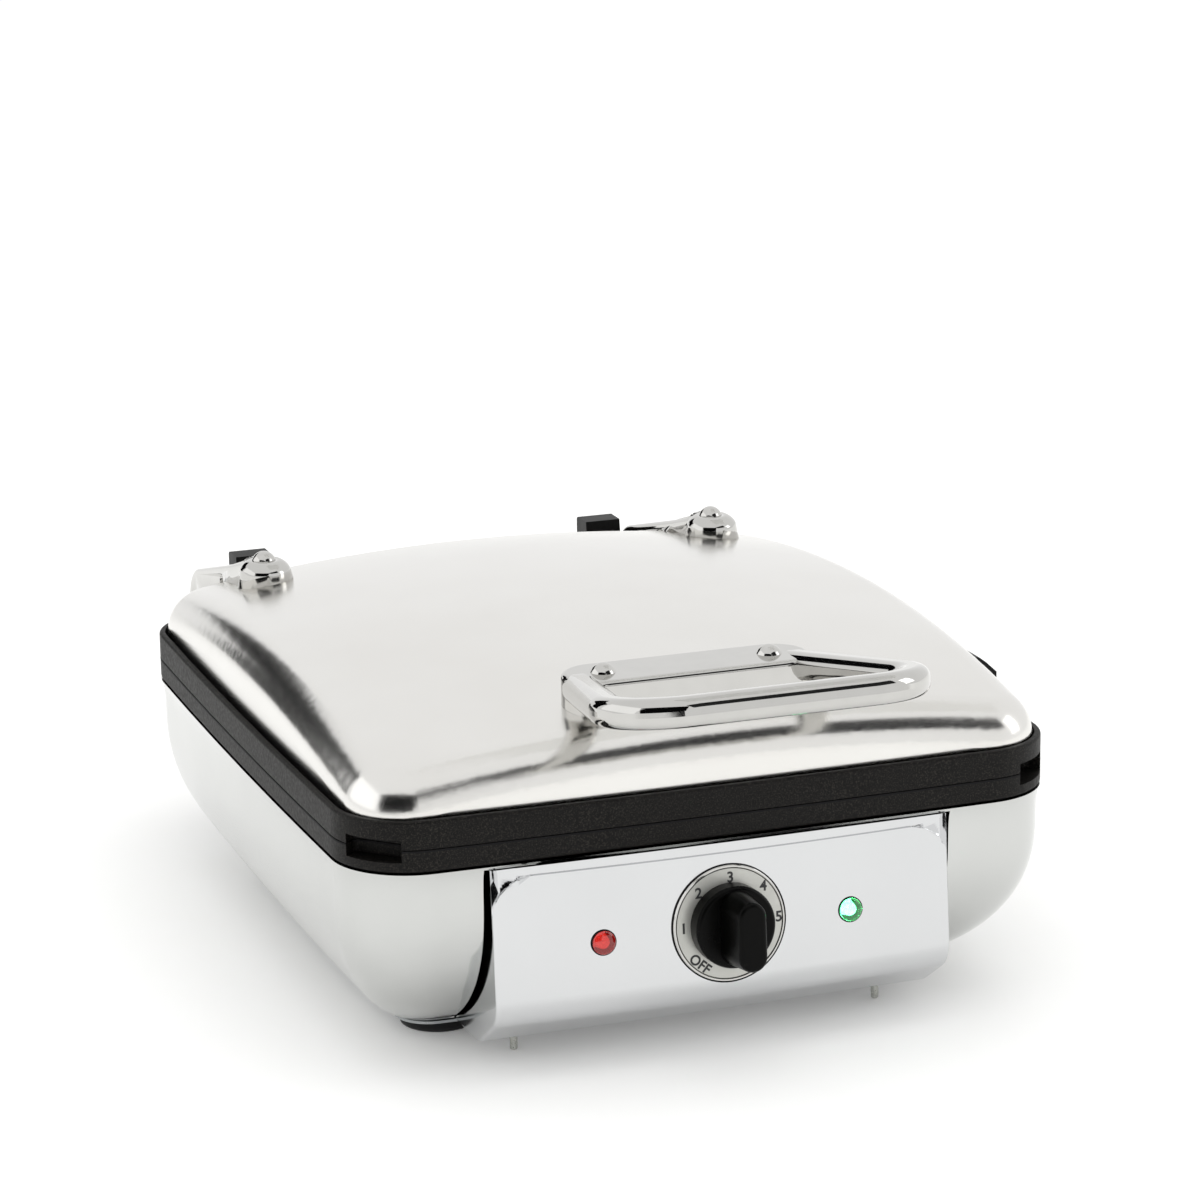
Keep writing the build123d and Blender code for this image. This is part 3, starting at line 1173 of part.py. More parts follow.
def lid_latch():
    """Side latch that swings over the lip of the upper plate for storage on end."""
    inner = HALF_WIDTH + LATCH_NOSE_GAP
    relief = inner + LATCH_RELIEF
    outer = HALF_WIDTH + LATCH_REACH
    nose = SEAM_HEIGHT + UPPER_BAND + LATCH_NOSE_RISE
    top = SEAM_HEIGHT + LATCH_TOP_RISE
    shoulder = top - LATCH_FOOT - LATCH_HEAD_FALL
    foot = LATCH_Z + LATCH_FOOT
    outline = [
        (inner, nose), (inner, top), (inner + LATCH_HEAD_FLAT, top - LATCH_HEAD_FALL),
        (outer - LATCH_HEAD_FLAT, top - LATCH_HEAD_SLOPE), (outer, shoulder),
        (outer, foot + LATCH_HEAD_SLOPE), (LATCH_X + LATCH_FOOT, LATCH_Z), (LATCH_X - LATCH_FOOT, LATCH_Z),
        (relief, foot + LATCH_HEAD_SLOPE / 2), (relief, nose),
    ]
    front = -LATCH_SETBACK - LATCH_WIDTH / 2
    sketch = make_face(Polyline(*outline, close=True))
    sketch += Pos(LATCH_X, LATCH_Z) * Circle(LATCH_FOOT)
    plane = Plane(origin=(0, front, 0), x_dir=(1, 0, 0), z_dir=(0, -1, 0))
    latch = extrude(plane * sketch, amount=-LATCH_WIDTH)
    return latch - latch_axis_bar(LATCH_PIN_RADIUS + RUNNING_GAP, LATCH_WIDTH)


def latch_axis_bar(radius, length):
    """Round bar on the latch pivot, centred on the latch."""
    start = (LATCH_X, -LATCH_SETBACK - length / 2 - 1, LATCH_Z)
    end = (LATCH_X, -LATCH_SETBACK + length / 2 + 1, LATCH_Z)
    return bar_between(start, end, radius)


def latch_bracket(bowl):
    """Clevis on the right wall that carries the latch pin."""
    half = LATCH_WIDTH / 2 + LATCH_SIDE_GAP
    outer_half = half + LATCH_EAR
    wall = HALF_WIDTH - LATCH_FOOT
    base = box_between(
        (wall, -LATCH_SETBACK - outer_half, LATCH_Z - LATCH_BASE_HALF),
        (LATCH_X - LATCH_FOOT - 0.3, -LATCH_SETBACK + outer_half, LATCH_Z + LATCH_BASE_HALF - 2),
    )
    for y_low in (-LATCH_SETBACK - outer_half, -LATCH_SETBACK + half):
        ear = box_between(
            (wall, y_low, LATCH_Z - LATCH_EAR_ROUND), (LATCH_X, y_low + LATCH_EAR, LATCH_Z + LATCH_EAR_ROUND)
        )
        ear += bar_between((LATCH_X, y_low, LATCH_Z), (LATCH_X, y_low + LATCH_EAR, LATCH_Z), LATCH_EAR_ROUND)
        base += ear
    base -= latch_axis_bar(LATCH_PIN_RADIUS, 2 * LATCH_WIDTH)
    base -= bowl
    return base.solids().sort_by(SortBy.VOLUME)[-1]


def latch_pin():
    """Pin of the latch, flush with the outer faces of the clevis."""
    length = LATCH_WIDTH + 2 * (LATCH_SIDE_GAP + LATCH_EAR) - 2
    return latch_axis_bar(LATCH_PIN_RADIUS, length)


def build():
    """Makes every node once and returns them by name."""
    dome = dome_solid()
    bowl = bowl_solid(0.0, BOWL_SHEET)
    arm = hinge_arm(dome)
    handle_spot, hinge_spot = rivet_spots()
    return {
        "base_shell": base_shell(bowl),
        "bottom_cover": bottom_cover(),
        "rubber_feet": rubber_feet(),
        "foot_screws": foot_screws(),
        "cover_screws": cover_screws(),
        "control_panel": control_panel(),
        "panel_screws": panel_screws(),
        "anti_tip_pins": anti_tip_pins(),
        "dial_plate": dial_plate(),
        "knob": knob(),
        "thermostat_shaft": thermostat_shaft(),
        "thermostat": thermostat(),
        "thermostat_bracket": thermostat_bracket(),
        "thermostat_screws": thermostat_screws(),
        "sensor_bulb": sensor_bulb(),
        "thermal_fuse": thermal_fuse(),
        "power_lamp_lens": lamp_lens(-LAMP_SPACING / 2),
        "ready_lamp_lens": lamp_lens(LAMP_SPACING / 2),
        "lamp_bodies": lamp_bodies(),
        "lower_plate": lower_plate(),
        "lower_element": heating_element(lower_element_z()),
        "lower_element_clips": element_clips(lower_element_z(), TUB_BOTTOM),
        "lower_reflector": reflector(TUB_BOTTOM),
        "lower_posts": lower_posts(),
        "lower_post_screws": lower_post_screws(),
        "terminal_block": terminal_block(),
        "cord_gland": cord_gland(bowl),
        "rear_posts": rear_posts(bowl),
        "hinge_brackets": hinge_brackets(bowl),
        "bracket_screws": bracket_screws(),
        "hinge_pins": hinge_pins(),
        "latch_bracket": latch_bracket(bowl),
        "latch_pin": latch_pin(),
        "lid_latch": lid_latch(),
        "upper_plate": upper_plate(),
        "upper_element": heating_element(upper_element_z()),
        "upper_element_clips": element_clips(upper_element_z(), TUB_ROOF),
        "upper_reflector": reflector(TUB_ROOF),
        "upper_posts": upper_posts(),
        "lid_cover": lid_cover(dome),
        "handle": handle(dome),
        "handle_rivets": rivets(handle_spot, SEAM_HEIGHT + HANDLE_RISE),
        "hinge_arm_right": arm,
        "hinge_arm_left": mirror(arm, about=Plane.YZ),
        "hinge_rivets": rivets(hinge_spot, SEAM_HEIGHT + ARM_TOP_RISE),
        "hinge_bushes": hinge_bushes(),
    }


os.makedirs("parts", exist_ok=True)
for node, shape in build().items():
    export_step(shape, f"parts/{node}.step")
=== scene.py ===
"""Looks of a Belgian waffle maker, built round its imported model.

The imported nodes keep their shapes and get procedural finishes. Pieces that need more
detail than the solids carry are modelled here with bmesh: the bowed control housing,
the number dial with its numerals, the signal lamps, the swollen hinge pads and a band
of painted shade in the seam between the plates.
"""

import logging
from collections.abc import Callable, Iterable
from dataclasses import dataclass
from enum import Enum
from math import cos, pi, radians, sin

import bmesh
import bpy
from mathutils import Matrix, Vector


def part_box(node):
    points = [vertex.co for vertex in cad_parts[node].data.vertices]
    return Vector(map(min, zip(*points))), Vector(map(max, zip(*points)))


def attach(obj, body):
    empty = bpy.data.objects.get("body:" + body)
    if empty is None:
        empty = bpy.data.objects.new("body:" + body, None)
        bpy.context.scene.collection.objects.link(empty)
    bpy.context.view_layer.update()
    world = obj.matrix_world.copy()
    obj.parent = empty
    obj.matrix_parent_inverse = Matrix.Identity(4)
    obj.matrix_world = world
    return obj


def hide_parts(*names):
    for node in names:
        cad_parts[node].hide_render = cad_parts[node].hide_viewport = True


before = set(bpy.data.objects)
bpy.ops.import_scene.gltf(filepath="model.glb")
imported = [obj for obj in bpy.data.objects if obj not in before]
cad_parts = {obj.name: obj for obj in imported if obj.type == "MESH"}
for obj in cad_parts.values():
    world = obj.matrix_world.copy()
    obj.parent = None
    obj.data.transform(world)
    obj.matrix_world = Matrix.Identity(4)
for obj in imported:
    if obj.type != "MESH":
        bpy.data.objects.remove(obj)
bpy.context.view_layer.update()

MM = 0.001
LOG = logging.getLogger("waffle_maker")


class Body(Enum):
    """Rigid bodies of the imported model."""

    BASE = "base"
    LID = "lid"
    KNOB = "knob"
    LATCH = "latch"


# Colour and node helpers


def linear(code: str) -> tuple[float, float, float, float]:
    """Turn an sRGB hex value into a linear colour.

    Args:
        code: six hex digits, with or without a leading hash.

    Returns:
        Red, green, blue and an alpha of 1.
    """
    digits = code.lstrip("#")
    values = [int(digits[i:i + 2], 16) / 255 for i in (0, 2, 4)]
    channels = [v / 12.92 if v <= 0.04045 else ((v + 0.055) / 1.055) ** 2.4 for v in values]
    return (channels[0], channels[1], channels[2], 1.0)


def add_node(
    tree: bpy.types.NodeTree,
    kind: str,
    settings: dict[str, object] | None = None,
    inputs: dict[str | int, object] | None = None,
) -> bpy.types.Node:
    """Add a node with its settings, values and links.

    Args:
        tree: node tree that takes the node.
        kind: Blender's name of the node type.
        settings: properties of the node itself.
        inputs: values for its inputs, or the output sockets that feed them.

    Returns:
        The new node.
    """
    node = tree.nodes.new(kind)
    for name, value in (settings or {}).items():
        setattr(node, name, value)
    for key, value in (inputs or {}).items():
        if isinstance(value, bpy.types.NodeSocket):
            tree.links.new(value, node.inputs[key])
        else:
            node.inputs[key].default_value = value
    return node


def per_mm(length: float) -> float:
    """Texture scale for a pattern that repeats every so many millimetres."""
    return 1.0 / (length * MM)


@dataclass(frozen=True)
class Finish:
    """A finish of one real material. Subclasses add their pattern."""

    title: str
    colour: str
    second: str
    roughness: float

    def pattern(self, tree: bpy.types.NodeTree, place: bpy.types.NodeSocket) -> dict[str | int, object]:
        """Add the pattern's nodes.

        Args:
            tree: node tree of the material.
            place: object coordinates.

        Returns:
            The shader's inputs: a value where it is uniform, else the output that feeds it.
        """
        raise NotImplementedError

    def material(self) -> bpy.types.Material:
        """The Blender material, made once for each title."""
        known = bpy.data.materials.get(self.title)
        if known is not None:
            return known
        made = bpy.data.materials.new(self.title)
        made.use_nodes = True
        made.diffuse_color = linear(self.colour)
        tree = made.node_tree
        tree.nodes.clear()
        place = add_node(tree, "ShaderNodeTexCoord").outputs["Object"]
        shader = add_node(tree, "ShaderNodeBsdfPrincipled", inputs=self.pattern(tree, place))
        add_node(tree, "ShaderNodeOutputMaterial", inputs={"Surface": shader.outputs["BSDF"]})
        return made


@dataclass(frozen=True)
class Metal(Finish):
    """Bare or plated metal: patchy tone, fine marks of the polish and a slow wave."""

    marks: float = 0.9
    drawn: tuple[float, float, float] = (1.0, 1.0, 1.0)
    mark_depth: float = 0.002
    wave: float = 60.0
    wave_depth: float = 0.02
    spread: float = 0.03

    def pattern(self, tree: bpy.types.NodeTree, place: bpy.types.NodeSocket) -> dict[str | int, object]:
        """Patches of tone over the sheet, marks along the polish and a pressed wave."""
        drawn = add_node(tree, "ShaderNodeMapping", inputs={"Vector": place, "Scale": self.drawn})
        marks = add_node(
            tree, "ShaderNodeTexNoise",
            inputs={"Vector": drawn.outputs["Vector"], "Scale": per_mm(self.marks), "Detail": 4.0},
        )
        patches = add_node(
            tree, "ShaderNodeTexNoise",
            inputs={"Vector": place, "Scale": per_mm(self.wave * 0.6), "Detail": 3.0},
        )
        slow = add_node(
            tree, "ShaderNodeTexNoise", inputs={"Vector": place, "Scale": per_mm(self.wave), "Detail": 1.0},
        )
        tone = add_node(
            tree, "ShaderNodeMix", {"data_type": "RGBA"},
            {"Factor": patches.outputs["Fac"], 6: linear(self.colour), 7: linear(self.second)},
        )
        gloss = add_node(
            tree, "ShaderNodeMapRange",
            inputs={
                "Value": marks.outputs["Fac"], "From Min": 0.3, "From Max": 0.7,
                "To Min": max(0.01, self.roughness - self.spread), "To Max": self.roughness + self.spread,
            },
        )
        pressed = add_node(
            tree, "ShaderNodeBump",
            inputs={"Height": slow.outputs["Fac"], "Distance": self.wave_depth * MM, "Strength": 0.5},
        )
        polished = add_node(
            tree, "ShaderNodeBump",
            inputs={
                "Height": marks.outputs["Fac"], "Distance": self.mark_depth * MM, "Strength": 0.35,
                "Normal": pressed.outputs["Normal"],
            },
        )
        return {
            "Base Color": tone.outputs[2], "Metallic": 1.0, "Roughness": gloss.outputs["Result"],
            "Normal": polished.outputs["Normal"],
        }


@dataclass(frozen=True)
class Moulded(Finish):
    """Moulded polymer or rubber with the fine texture of its tool."""

    grain: float = 0.5
    grain_depth: float = 0.02
    sheen: float = 0.0
    specular: float = 0.5
    glow: float = 0.0

    def pattern(self, tree: bpy.types.NodeTree, place: bpy.types.NodeSocket) -> dict[str | int, object]:
        """Fine grain, a slow change of tone and a little change of gloss."""
        slow = add_node(
            tree, "ShaderNodeTexNoise", inputs={"Vector": place, "Scale": per_mm(18.0), "Detail": 2.0},
        )
        grain = add_node(
            tree, "ShaderNodeTexNoise", inputs={"Vector": place, "Scale": per_mm(self.grain), "Detail": 2.0},
        )
        tone = add_node(
            tree, "ShaderNodeMix", {"data_type": "RGBA"},
            {"Factor": slow.outputs["Fac"], 6: linear(self.colour), 7: linear(self.second)},
        )
        gloss = add_node(
            tree, "ShaderNodeMapRange",
            inputs={
                "Value": slow.outputs["Fac"], "From Min": 0.3, "From Max": 0.7,
                "To Min": self.roughness - 0.04, "To Max": self.roughness + 0.04,
            },
        )
        skin = add_node(
            tree, "ShaderNodeBump",
            inputs={"Height": grain.outputs["Fac"], "Distance": self.grain_depth * MM, "Strength": 0.5},
        )
        return {
            "Base Color": tone.outputs[2], "Roughness": gloss.outputs["Result"],
            "Normal": skin.outputs["Normal"],
            "IOR": 1.5, "Specular IOR Level": self.specular, "Sheen Weight": self.sheen,
            "Emission Color": linear(self.second), "Emission Strength": self.glow,
        }


@dataclass(frozen=True)
class CoatedCasting(Finish):
    """Aluminium casting under a baked non-stick coating, with pale and dark flecks."""

    fleck: float = 0.6
    pebble: float = 1.6
    specular: float = 0.16

    def pattern(self, tree: bpy.types.NodeTree, place: bpy.types.NodeSocket) -> dict[str | int, object]:
        """Flecks in the coating over the pebbled skin of the casting."""
        flecks = add_node(
            tree, "ShaderNodeTexNoise", inputs={"Vector": place, "Scale": per_mm(self.fleck), "Detail": 2.0},
        )
        pebble = add_node(
            tree, "ShaderNodeTexNoise", inputs={"Vector": place, "Scale": per_mm(self.pebble), "Detail": 3.0},
        )
        sparse = add_node(
            tree, "ShaderNodeMapRange",
            inputs={"Value": flecks.outputs["Fac"], "From Min": 0.5, "From Max": 0.72},
        )
        tone = add_node(
            tree, "ShaderNodeMix", {"data_type": "RGBA"},
            {"Factor": sparse.outputs["Result"], 6: linear(self.colour), 7: linear(self.second)},
        )
        gloss = add_node(
            tree, "ShaderNodeMapRange",
            inputs={
                "Value": pebble.outputs["Fac"], "From Min": 0.3, "From Max": 0.7,
                "To Min": self.roughness - 0.06, "To Max": self.roughness + 0.08,
            },
        )
        skin = add_node(
            tree, "ShaderNodeBump",
            inputs={"Height": pebble.outputs["Fac"], "Distance": 0.08 * MM, "Strength": 0.6},
        )
        return {
            "Base Color": tone.outputs[2], "Roughness": gloss.outputs["Result"],
            "Normal": skin.outputs["Normal"],
            "Specular IOR Level": self.specular,
        }


@dataclass(frozen=True)
class ClearCap(Finish):
    """Injection-moulded transparent acrylic of a signal lamp."""

    clear: float = 0.75
    glow: float = 0.0

    def pattern(self, tree: bpy.types.NodeTree, place: bpy.types.NodeSocket) -> dict[str | int, object]:
        """Tinted acrylic, deeper where it is thick, with faint moulding ripples."""
        ripples = add_node(
            tree, "ShaderNodeTexNoise", inputs={"Vector": place, "Scale": per_mm(2.2), "Detail": 1.0},
        )
        tone = add_node(
            tree, "ShaderNodeMix", {"data_type": "RGBA"},
            {"Factor": ripples.outputs["Fac"], 6: linear(self.colour), 7: linear(self.second)},
        )
        gloss = add_node(
            tree, "ShaderNodeMapRange",
            inputs={
                "Value": ripples.outputs["Fac"], "To Min": self.roughness, "To Max": self.roughness + 0.04,
            },
        )
        skin = add_node(
            tree, "ShaderNodeBump",
            inputs={"Height": ripples.outputs["Fac"], "Distance": 0.03 * MM, "Strength": 0.4},
        )
        return {
            "Base Color": tone.outputs[2], "Roughness": gloss.outputs["Result"],
            "Normal": skin.outputs["Normal"],
            "IOR": 1.49, "Transmission Weight": self.clear, "Coat Weight": 0.6, "Coat Roughness": 0.04,
            "Emission Color": linear(self.second), "Emission Strength": self.glow,
        }


@dataclass(frozen=True)
class Printed(Finish):
    """Anodised aluminium disc with turned rings, or the ink that is printed on it."""

    metallic: float = 0.6
    ring: float = 0.7

    def pattern(self, tree: bpy.types.NodeTree, place: bpy.types.NodeSocket) -> dict[str | int, object]:
        """Fine turned rings and a slow change of tone."""
        slow = add_node(
            tree, "ShaderNodeTexNoise", inputs={"Vector": place, "Scale": per_mm(9.0), "Detail": 2.0},
        )
        rings = add_node(
            tree, "ShaderNodeTexNoise", inputs={"Vector": place, "Scale": per_mm(self.ring), "Detail": 2.0},
        )
        tone = add_node(
            tree, "ShaderNodeMix", {"data_type": "RGBA"},
            {"Factor": slow.outputs["Fac"], 6: linear(self.colour), 7: linear(self.second)},
        )
        gloss = add_node(
            tree, "ShaderNodeMapRange",
            inputs={
                "Value": rings.outputs["Fac"], "From Min": 0.3, "From Max": 0.7,
                "To Min": self.roughness - 0.05, "To Max": self.roughness + 0.05,
            },
        )
        skin = add_node(
            tree, "ShaderNodeBump",
            inputs={"Height": rings.outputs["Fac"], "Distance": 0.004 * MM, "Strength": 0.3},
        )
        return {
            "Base Color": tone.outputs[2], "Metallic": self.metallic, "Roughness": gloss.outputs["Result"],
            "Normal": skin.outputs["Normal"],
        }


class Palette(Enum):
    """Finishes by the record's material slots."""

    # Drawn stainless bowl, buffed bright: a soft mirror with a slow wave from the press.
    BOWL = (
        "polished_steel",
        Metal("buffed_stainless_bowl", "#cecfcd", "#c6c7c5", 0.12, wave=70.0, wave_depth=0.03),
    )
    # Stainless housing, buffed: the clearest mirror, cool in tone.
    HOUSING = (
        "polished_steel_panel",
        Metal("buffed_stainless_housing", "#d4d5d6", "#cdcecf", 0.10, wave=80.0, wave_depth=0.02),
    )
    # Spun and satin-buffed lid: softer than the bowl, a little warm.
    DOME = (
        "satin_steel_dome",
        Metal(
            "satin_stainless_dome", "#e6e5e2", "#dedcd8", 0.19, marks=0.5, drawn=(0.12, 1.0, 1.0), wave=90.0,
        ),
    )
    # Chromed casting: crisp black and white streaks, with the slight dimples of the casting.
    CAST = (
        "polished_cast",
        Metal(
            "chromed_casting", "#c9c8c5", "#bfbebb", 0.06, marks=2.2, mark_depth=0.006, wave=16.0, spread=0.02,
        ),
    )
    # Domed steel rivets, as bright as the chrome round them.
    RIVET = ("rivet_steel", Metal("peened_rivet_steel", "#cfcecb", "#bfbebb", 0.06, marks=0.8, wave=4.0))
    # Zinc-plated fasteners: pale, slightly yellow and satin.
    FASTENER = ("fastener_steel", Metal("zinc_plated_fastener", "#c9cac6", "#b4b5ad", 0.28, wave=5.0))
    # Zinc-plated sheet: grey with a faint spangle.
    ZINC = (
        "zinc_steel",
        Metal("zinc_plated_sheet", "#b9bcbd", "#9fa3a5", 0.34, marks=2.5, wave=12.0, spread=0.08),
    )
    # Aluminised steel tray: bright grey, slightly mottled by the dip.
    TRAY = (
        "aluminised_sheet",
        Metal("aluminised_steel", "#c6c8c9", "#acafb1", 0.3, marks=3.0, wave=15.0, spread=0.08),
    )
    # Stainless sheath of the heating tube, blued and browned by heat.
    SHEATH = ("element_sheath", Metal("heat_tinted_sheath", "#7d756b", "#4c4a4e", 0.42, marks=1.2, wave=14.0))
    # Sintered bronze bush: brown yellow, matt from its pores.
    BRONZE = (
        "bronze",
        Metal("sintered_bronze", "#a9824b", "#8a6636", 0.4, marks=0.5, mark_depth=0.01, wave=4.0),
    )
    # Copper sensor bulb: pink brown with darker handling marks.
    COPPER = ("copper_sensor", Metal("drawn_copper", "#b9775a", "#94563d", 0.3, marks=0.6, wave=6.0))
    # Cast aluminium plate under black non-stick: soft sheen, fine pale flecks.
    PLATE = ("nonstick_cast", CoatedCasting("nonstick_coated_casting", "#0b0a09", "#2e2b27", 0.5))
    # Nitrile rubber foot: dead black and matt.
    RUBBER = ("rubber", Moulded("nitrile_rubber", "#141415", "#1e1e1f", 0.78, grain=0.7, sheen=0.1))
    # Phenolic knob: deep black with a polished skin.
    KNOB = (
        "knob_plastic",
        Moulded("phenolic_knob", "#020202", "#040403", 0.3, grain=0.9, grain_depth=0.006, specular=0.09),
    )
    # Glass-filled nylon: black, with a fine eggshell gloss.
    NYLON = (
        "black_plastic",
        Moulded("glass_filled_nylon", "#060606", "#0b0b0b", 0.45, grain=0.6, specular=0.18),
    )
    # Phenolic thermostat case: dark brown and half matt.
    CASE = ("case_plastic", Moulded("brown_phenolic_case", "#2b211b", "#3a2d25", 0.5, grain=0.8))
    # Steatite terminal block: cream white, matt and slightly chalky.
    CERAMIC = ("terminal_plastic", Moulded("steatite_block", "#e2ddd0", "#d2cbba", 0.6, grain=0.5))
    # Anodised aluminium dial: light grey, turned satin.
    DIAL = ("dial_print", Printed("anodised_dial", "#c9c9c4", "#b8b8b2", 0.34))
    # Red acrylic lamp cap: deep red, with a faint painted glow though its lamp is unlit.
    RED_CAP = ("red_lens", ClearCap("red_acrylic", "#7d0a09", "#c41d18", 0.05, clear=0.55, glow=0.05))
    # Green acrylic lamp cap: pale and bright, nearly white in its middle.
    GREEN_CAP = ("green_lens", ClearCap("green_acrylic", "#067a34", "#2fc068", 0.05, clear=0.75, glow=0.12))

    def __init__(self, slot: str, finish: Finish) -> None:
        """Hold the slot's name and its finish."""
        self.slot = slot
        self.finish = finish


# Screen-printed ink on the dial: near black, a little raised and matt.
INK = Printed("screen_printed_ink", "#232324", "#2e2e30", 0.55, metallic=0.0)
# Matt near-black in the grooves round the dial, the seats of the lamps and the seam between the plates:
#  painted shade for the shadow down in these gaps. It takes no reflection.
PAINTED_SHADE = Moulded("painted_shade_gap", "#08080a", "#101012", 0.7, specular=0.2)
# Neon bulb that glows behind the green cap: the near-white middle of the lit lamp.
LIT_BULB = ClearCap("lit_neon_bulb", "#f2fff4", "#e4ffec", 0.1, clear=0.1, glow=9.0)
# The same bulb unlit behind the red cap, with a faint glow that paints a pink highlight in the middle of the
# lens.
UNLIT_BULB_PAINTED_GLOW = ClearCap("unlit_neon_bulb", "#e8b4ac", "#d89a90", 0.1, clear=0.3, glow=1.2)


# Mesh helpers


def make_piece(
    shape: bmesh.types.BMesh, name: str, finish: Finish, body: Body, crease: float = 32.0
) -> bpy.types.Object:
    """Turn a bmesh into a piece that rides on a body.

    Args:
        shape: mesh in the frame's metres. It is freed here.
        name: name of the piece.
        finish: material of the piece.
        body: body that it moves with.
        crease: angle in degrees above which an edge stays sharp.

    Returns:
        The piece, at the origin.
    """
    mesh = bpy.data.meshes.new(name)
    shape.to_mesh(mesh)
    shape.free()
    for polygon in mesh.polygons:
        polygon.use_smooth = True
    mesh.set_sharp_from_angle(angle=radians(crease))
    mesh.materials.clear()
    mesh.materials.append(finish.material())
    piece = bpy.data.objects.new(name, mesh)
    bpy.context.scene.collection.objects.link(piece)
    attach(piece, body.value)
    LOG.info("piece %s on %s, %d faces", name, body.value, len(mesh.polygons))
    return piece


def turned(profile: Iterable[tuple[float, float]], place: Matrix, steps: int = 72) -> bmesh.types.BMesh:
    """Solid of revolution.

    Args:
        profile: radius and height pairs in millimetres, from axis to axis or closed in a loop.
        place: matrix that sets the turned shape in the frame.
        steps: segments round the axis.

    Returns:
        The turned mesh, merged and facing out.
    """
    shape = bmesh.new()
    points = [shape.verts.new((radius * MM, 0.0, height * MM)) for radius, height in profile]
    for start, end in zip(points, points[1:]):
        shape.edges.new((start, end))
    bmesh.ops.spin(
        shape, geom=shape.verts[:] + shape.edges[:], cent=(0, 0, 0), axis=(0, 0, 1),
        angle=2 * pi, steps=steps, use_merge=True,
    )
    bmesh.ops.remove_doubles(shape, verts=shape.verts[:], dist=0.002 * MM)
    bmesh.ops.recalc_face_normals(shape, faces=shape.faces[:])
    bmesh.ops.transform(shape, matrix=place, verts=shape.verts[:])
    return shape


def merged_copy(node: str) -> bmesh.types.BMesh:
    """A node's mesh with its loose triangles merged, for a piece that grows from it."""
    shape = bmesh.new()
    shape.from_mesh(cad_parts[node].data)
    bmesh.ops.remove_doubles(shape, verts=shape.verts[:], dist=0.005 * MM)
    return shape


def lead_flat_faces(piece: bpy.types.Object) -> None:
    """Let large faces lead the shading, so a narrow rounding doesn't smear over them."""
    shading = piece.modifiers.new("flat_faces_lead", "WEIGHTED_NORMAL")
    shading.keep_sharp = True
    shading.weight = 100


def dress(names: Iterable[str]) -> None:
    """Give carried nodes the finish of their slot."""
    finishes = {entry.slot: entry.finish for entry in Palette}
    for name in names:
        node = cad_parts[name]
        for holder in node.material_slots:
            slot = holder.material.name.split(".")[0]
            holder.material = finishes[slot].material()
        LOG.info("dressed %s", name)


def words(text: str, height: float, thickness: float, bold: float) -> bmesh.types.BMesh:
    """Raised lettering centred on the origin in the XY plane.

    Args:
        text: the characters.
        height: size of the letters in millimetres.
        thickness: how far they stand up, in millimetres.
        bold: how much each stroke grows to either side, in millimetres.

    Returns:
        Mesh of the lettering.
    """
    curve = bpy.data.curves.new("lettering", "FONT")
    curve.body = text
    curve.size = height * MM / 0.72
    curve.extrude = thickness * MM / 2
    curve.offset = bold * MM
    curve.align_x = "CENTER"
    curve.align_y = "CENTER"
    holder = bpy.data.objects.new("lettering", curve)
    bpy.context.scene.collection.objects.link(holder)
    bpy.context.view_layer.update()
    mesh = bpy.data.meshes.new_from_object(holder)
    shape = bmesh.new()
    shape.from_mesh(mesh)
    bpy.data.objects.remove(holder)
    bpy.data.curves.remove(curve)
    bpy.data.meshes.remove(mesh)
    bmesh.ops.remove_doubles(shape, verts=shape.verts[:], dist=0.002 * MM)
    return shape


# Sub-assemblies


@dataclass
class PlateSeam:
    """Thin band on the outer wall of the lower plate, in painted shade for the groove between the two plates.
    """

    node: str = "lower_plate"
    depth: float = 0.75
    proud: float = 0.06
    inner_half: tuple[float, float] = (140.0, 157.0)
    wall_from: float = 150.0
    steepest: float = 0.5

    def build(self) -> None:
        """Cut the band from the top of the plate's outer wall."""
        shape = merged_copy(self.node)
        seam = max(vert.co.z for vert in shape.verts if abs(vert.co.x) > self.wall_from * MM)
        bmesh.ops.bisect_plane(
            shape, geom=shape.verts[:] + shape.edges[:] + shape.faces[:], dist=0.001 * MM,
            plane_co=(0, 0, seam - self.depth * MM), plane_no=(0, 0, -1), clear_outer=True,
        )
        wide, deep = self.inner_half
        extra = []
        for face in shape.faces:
            centre = face.calc_center_median()
            inner = abs(centre.x) < wide * MM and abs(centre.y) < deep * MM
            faces_in = face.normal.x * centre.x + face.normal.y * centre.y <= 0
            if abs(face.normal.z) > self.steepest or centre.z > seam or inner or faces_in:
                extra.append(face)
        bmesh.ops.delete(shape, geom=extra, context="FACES")
        shape.normal_update()
        for vert in shape.verts:
            vert.co += Vector((vert.normal.x, vert.normal.y, 0.0)) * self.proud * MM
        LOG.info("seam at %.2f mm", seam / MM)
        # The band is painted shade: near-black for the shadow down in the seam.
        make_piece(shape, "plate_seam_shade", PAINTED_SHADE, Body.BASE, crease=60.0)


@dataclass
class DomedLid:
    """Steel dome over the upper plate, with the plate's flange showing as a dark band."""

    nodes: tuple[str, ...] = (
        "lid_cover", "upper_plate", "upper_element", "upper_element_clips", "upper_posts", "upper_reflector",
        "thermal_fuse",
    )

    def build(self) -> None:
        """Dress the lid."""
        dress(self.nodes)


@dataclass
class BaseBowl:
    """Bowl with its plate, cover, feet and inner parts."""

    nodes: tuple[str, ...] = (
        "base_shell", "lower_plate", "bottom_cover", "cover_screws", "rubber_feet", "foot_screws",
        "lower_element", "lower_element_clips", "lower_reflector", "lower_posts", "lower_post_screws",
        "terminal_block", "cord_gland", "sensor_bulb",
    )

    def build(self) -> None:
        """Dress the base."""
        dress(self.nodes)


